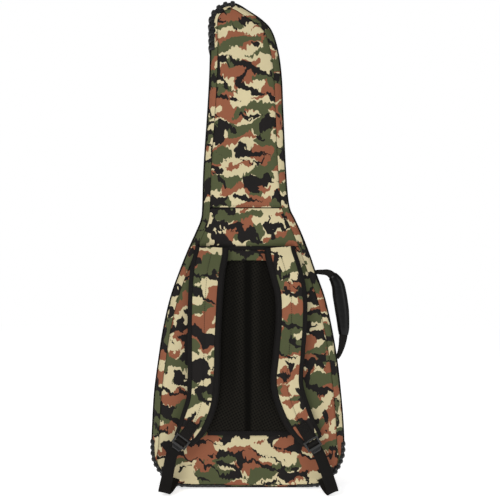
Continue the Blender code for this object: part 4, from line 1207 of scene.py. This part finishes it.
# ---------------------------------------------------------------- main zip
# A heavy coil zip from the left of the base, up the handle side and over the headstock, down to the
# gusset that the front half turns on. One row of teeth stays on each half.
ZIP_RUN = run_along((-0.196, 0.044), (-0.1975, 0.262))
ZIP_Y, TAPE_GAP = 0.0346, 0.0010       # where the two halves meet, and from there to each tape
TOOTH_PITCH, TOOTH_SIZE = 0.0052, (0.0023, 0.0016, 0.0030)
for name, y_low, y_high, lead, side, body, node in (
        ("rear_zip", REAR_RIM - 0.0006, ZIP_Y - TAPE_GAP, 0.0, -1, "root", "rear_zip_tape"),
        ("front_zip", ZIP_Y + TAPE_GAP, FRONT_RIM + 0.0006, 0.5, 1, "lid", "front_zip_tape")):
    section = [(-0.0040, y_low), (-0.0029, y_low), (-0.0026, (y_low + y_high) / 2), (-0.0029, y_high),
               (-0.0040, y_high)]
    rings = [[Vector((p.x + n.x * out, y, p.y + n.y * out)) + SHIFT for out, y in section]
             for p, n in ZIP_RUN]
    show(f"{name}_woven_tape", loft(rings, caps=True), tape_cloth, body, [node])
    at, length = walk(ZIP_RUN)
    places = []
    for k in range(int(length / TOOTH_PITCH) - 1):
        p, n = at((k + 0.5 + lead) * TOOTH_PITCH)
        out = Vector((n.x, 0, n.y))
        middle = Vector((p.x, ZIP_Y + side * 0.0011, p.y)) + SHIFT - out * 0.0021
        places.append((middle, Vector((-out.z, 0, out.x)), out, Vector((0, 1, 0))))
    show(f"{name}_teeth", row_of_teeth(places, TOOTH_SIZE), coil_nylon, body, smooth=False)

# ---------------------------------------------------------------- hinge gusset
# An unzipped stretch of black cloth on the left edge. It joins the halves.
HINGE_RUN = run_along((-0.1985, 0.245), (-0.205, 0.070))
HINGE_WIDE, HINGE_THICK = FRONT_RIM - REAR_RIM - 0.0004, 0.0012
rings = []
for p, n in HINGE_RUN:
    outer = [(-0.0026 + 0.0006 * math.sin(math.pi * s), REAR_RIM + 0.0002 + HINGE_WIDE * s)
             for s in np.linspace(0, 1, 11)]
    inner = [(out - HINGE_THICK, y) for out, y in reversed(outer)]
    rings.append([Vector((p.x + n.x * out, y, p.y + n.y * out)) + SHIFT for out, y in outer + inner])
hinge = show("hinge_gusset", loft(rings, caps=True), grosgrain, None, ["hinge_strip"])
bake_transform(hinge)

# ---------------------------------------------------------------- lining
# Black brushed plush on the inside of both halves, turned out over the foam at the rim, where black tape
# binds the layers together beside the zip.
LINING_IN = 0.0143     # from the outer cloth to the face of the plush
BED_IN = 0.0190        # from the outline to the seam of the plush bed


def brushed_plush(name):
    """Brushed nylon plush: a soft black pile that lightens at grazing angles and lies in uneven strokes."""
    material, tree, shader, place = new_finish(name, 0.95, Sheen_Weight=0.5, Sheen_Roughness=0.35)
    strokes = add_node(tree, "Mapping", {"Vector": place, "Scale": (1.0, 1.0, 0.35)})
    strokes = add_node(tree, "TexNoise", {"Vector": strokes, "Scale": 60.0, "Detail": 4.0})
    pile = add_node(tree, "TexNoise", {"Vector": place, "Scale": 480.0, "Detail": 3.0})
    coat(tree, shader, strokes, ink("#18181b"), ink("#37373d"), pile, 0.0008, 0.7)
    return material


plush = brushed_plush("black_brushed_plush")
for half, panel_y, rim_y, body, way in (("back", BACK_Y, REAR_RIM, "root", 1),
                                        ("front", FRONT_Y, FRONT_RIM, "lid", -1)):
    # Wall: from the bed's seam round a tight curve, then straight to the rim
    bed_y = panel_y + way * LINING_IN
    stations = [(BED_IN, bed_y), (0.0166, bed_y + way * 0.0003), (0.0150, bed_y + way * 0.0016),
                (LINING_IN, bed_y + way * 0.0036)]
    if half == "back":
        stations += [(LINING_IN, panel_y + 0.035), (LINING_IN, panel_y + 0.055), (LINING_IN, rim_y - 0.0012)]
    stations.append((LINING_IN, rim_y))
    rings = []
    for inward, y in stations:
        y = y if way * (y - panel_y) < abs(rim_y - panel_y) else rim_y
        ring = []
        for i, (p, n) in enumerate(zip(OUTLINE, OUTWARD)):
            soft = 0.0006 * undulate(i * OUTLINE_STEP, y, 0.035, 4.8)
            ring.append(in_bag(p.x - n.x * (inward + soft), y, p.y - n.y * (inward + soft)))
        rings.append(ring)
    wall = show(f"lining_wall_{half}", loft(rings), plush, body, [f"{half}_lining"])
    face_away(wall.data, False)
    bed_edge = evenly([p - n * BED_IN for p, n in zip(OUTLINE, OUTWARD)], 0.0058, closed=True)
    bed = cloth_panel(f"lining_bed_{half}", bed_edge, bed_y, plush, body, [], outward=way,
                      seam_dip=0.0, spacing=0.0065)
    # Rim binding: tape folded over the cloth, the foam and the plush
    rings = []
    for inward, lift in ((-0.0003, -0.0016), (-0.0005, 0.0), (0.0008, 0.0005), (0.0070, 0.0007),
                         (0.0136, 0.0005), (LINING_IN + 0.0003, 0.0), (LINING_IN + 0.0001, -0.0016)):
        rings.append([in_bag(p.x - n.x * inward, rim_y + way * (lift - 0.0004), p.y - n.y * inward)
                      for p, n in zip(OUTLINE, OUTWARD)])
    show(f"rim_binding_{half}", loft(rings), grosgrain, body, [], facing=(0, way, 0))

# ---------------------------------------------------------------- neck cradle, its strap and the base cushion
# Soft foam blocks under plush: a U that the neck lies in, with a hook-and-loop strap over it, and a
# cushion that the guitar's lower edge stands on.
COVER_NET, COVER_SWELL, COVER_FRAMES = 0.005, 0.006, 20    # the cover's net, how far and how long it swells
BED_DEPTH, SIDE_PAD = 0.016, 0.020


def plumped(piece):
    """Blows a padded piece's cover out with a short cloth simulation, each point held to a small movement."""
    scene = bpy.context.scene
    trial = bpy.data.objects.new("cover_trial", piece.data.copy())
    bpy.context.collection.objects.link(trial)
    remesh = trial.modifiers.new("remesh", "REMESH")
    remesh.mode, remesh.voxel_size = "VOXEL", COVER_NET
    meshed = with_modifiers(trial)
    trial.modifiers.clear()
    trial.data = meshed
    rest = np.array([tuple(vert.co) for vert in meshed.vertices])
    cloth = trial.modifiers.new("cloth", "CLOTH")
    cloth.settings.quality = 4
    cloth.settings.use_pressure = True
    cloth.settings.uniform_pressure_force = 4.0
    cloth.settings.effector_weights.gravity = 0.0
    cloth.point_cache.frame_start, cloth.point_cache.frame_end = 1, COVER_FRAMES
    for moment in range(1, COVER_FRAMES + 1):
        scene.frame_set(moment)
    blown = trial.evaluated_get(bpy.context.evaluated_depsgraph_get())
    blown = np.array([tuple(vert.co) for vert in blown.data.vertices])
    scene.frame_set(1)
    trial.modifiers.clear()
    step = blown - rest
    length = np.maximum(np.linalg.norm(step, axis=1, keepdims=True), 1e-9)
    places = rest + step / length * np.minimum(length, COVER_SWELL)
    for vert, spot in zip(meshed.vertices, places):
        vert.co = spot
    trial.modifiers.new("soften", "SUBSURF").levels = 1
    final = with_modifiers(trial)
    bpy.data.objects.remove(trial, do_unlink=True)
    final.shade_smooth()
    final.materials.clear()
    final.materials.append(piece.data.materials[0])
    piece.data = final


def soft_block(name, blocks, voxel, node):
    """A foam block with rounded corners under a plush cover, which swells between them."""
    piece = fused(name, blocks, voxel, plush, "root", [node], smoothing=7)
    plumped(piece)


UPRIGHT = (Vector((1, 0, 0)), Vector((0, 1, 0)), Vector((0, 0, 1)))
low, high = (Vector(corner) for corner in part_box("neck_cradle"))
middle = (low + high) / 2
size = high - low
soft_block("neck_cradle_foam", [
    (Vector((middle.x, low.y + BED_DEPTH / 2, middle.z)), UPRIGHT, (size.x, BED_DEPTH, size.z)),
    (Vector((low.x + SIDE_PAD / 2, middle.y, middle.z)), UPRIGHT, (SIDE_PAD, size.y, size.z)),
    (Vector((high.x - SIDE_PAD / 2, middle.y, middle.z)), UPRIGHT, (SIDE_PAD, size.y, size.z)),
], 0.0022, "neck_cradle")
low, high = (Vector(corner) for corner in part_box("base_cushion"))
soft_block("base_cushion_foam", [((low + high) / 2, UPRIGHT, high - low)], 0.0026, "base_cushion")
low, high = (Vector(corner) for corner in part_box("neck_strap"))
middle = (low + high) / 2
strap_path = []
for x in np.linspace(low.x, high.x, 30):
    sag = 0.0012 * math.cos((x - low.x) / (high.x - low.x) * math.pi * 2)
    strap_path.append(Vector((x, middle.y + sag, middle.z)))
neck_strap = ribbon(strap_path, (0, 0, 1), high.z - low.z, 0.0020)
show("neck_strap_webbing", neck_strap, webbing_black, "root", ["neck_strap"])
rows = bmesh.new()
for edge in (-0.0145, 0.0145):
    stitches(rows, [p + Vector((0, 0.0010, edge)) for p in strap_path[1:-1]], (0, 1, 0))
show("neck_strap_stitching", rows, thread, "root")

# ---------------------------------------------------------------- sliders and pulls
# Black enamelled zinc sliders, each with a bail, and a long moulded rubber pull that hangs from it. The
# main zip's face the handle side, the pockets' face the front.
for name in ("main_slider_upper", "main_slider_lower", "body_pocket_slider", "accessory_slider"):
    low, high = (Vector(corner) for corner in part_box(name))
    middle, size = (low + high) / 2, high - low
    if name.startswith("main"):
        out, run, wide, long = UPRIGHT[0], UPRIGHT[2], size.y, size.z
    else:
        out, run, wide, long = UPRIGHT[1], UPRIGHT[0], size.z, size.x
    axes = (run.cross(out), run, out)
    nose = 1 if name != "main_slider_lower" else -1
    # Base plate, its wider nose, the two posts of the bail and the bail
    blocks = []
    for rise, ahead, a, b, thick in (
            (-0.0008, 0.0, 0.80, 0.96, 0.0020), (-0.0008, nose * 0.14, 0.98, 0.52, 0.0022),
            (0.0006, 0.28, 0.30, 0.14, 0.0026), (0.0006, -0.28, 0.30, 0.14, 0.0026),
            (0.0018, 0.0, 0.26, 0.66, 0.0010)):
        blocks.append((middle + out * rise + run * ahead * long, axes, (wide * a, long * b, thick)))
    fused(name + "_body", blocks, 0.00040, slider_metal, name, [name], smoothing=1)
for name in ("main_pull_upper", "main_pull_lower", "body_pocket_pull", "accessory_pull"):
    low, high = (Vector(corner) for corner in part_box(name))
    middle = (low + high) / 2
    out = UPRIGHT[0] if name.startswith("main") else UPRIGHT[1]
    axes = (UPRIGHT[2].cross(out), UPRIGHT[2], out)
    wide = max(high.x - low.x, high.y - low.y)
    shoulder = high.z - 0.0090
    # Loop, neck, grip and four ribs across the grip, from the top down
    bars = [(high.z - 0.0032, (0.0036, 0.0064, 0.0018)), (high.z - 0.0085, (wide * 0.72, 0.0060, 0.0018)),
            ((low.z + shoulder) / 2, (wide, shoulder - low.z, 0.0018))]
    bars += [(low.z + 0.0040 + step * 0.0042, (wide * 0.72, 0.0013, 0.0028)) for step in range(4)]
    blocks = [(Vector((middle.x, middle.y, bar_z)), axes, bar) for bar_z, bar in bars]
    fused(name + "_tag", blocks, 0.00042, pull_rubber, name, [name], smoothing=1)
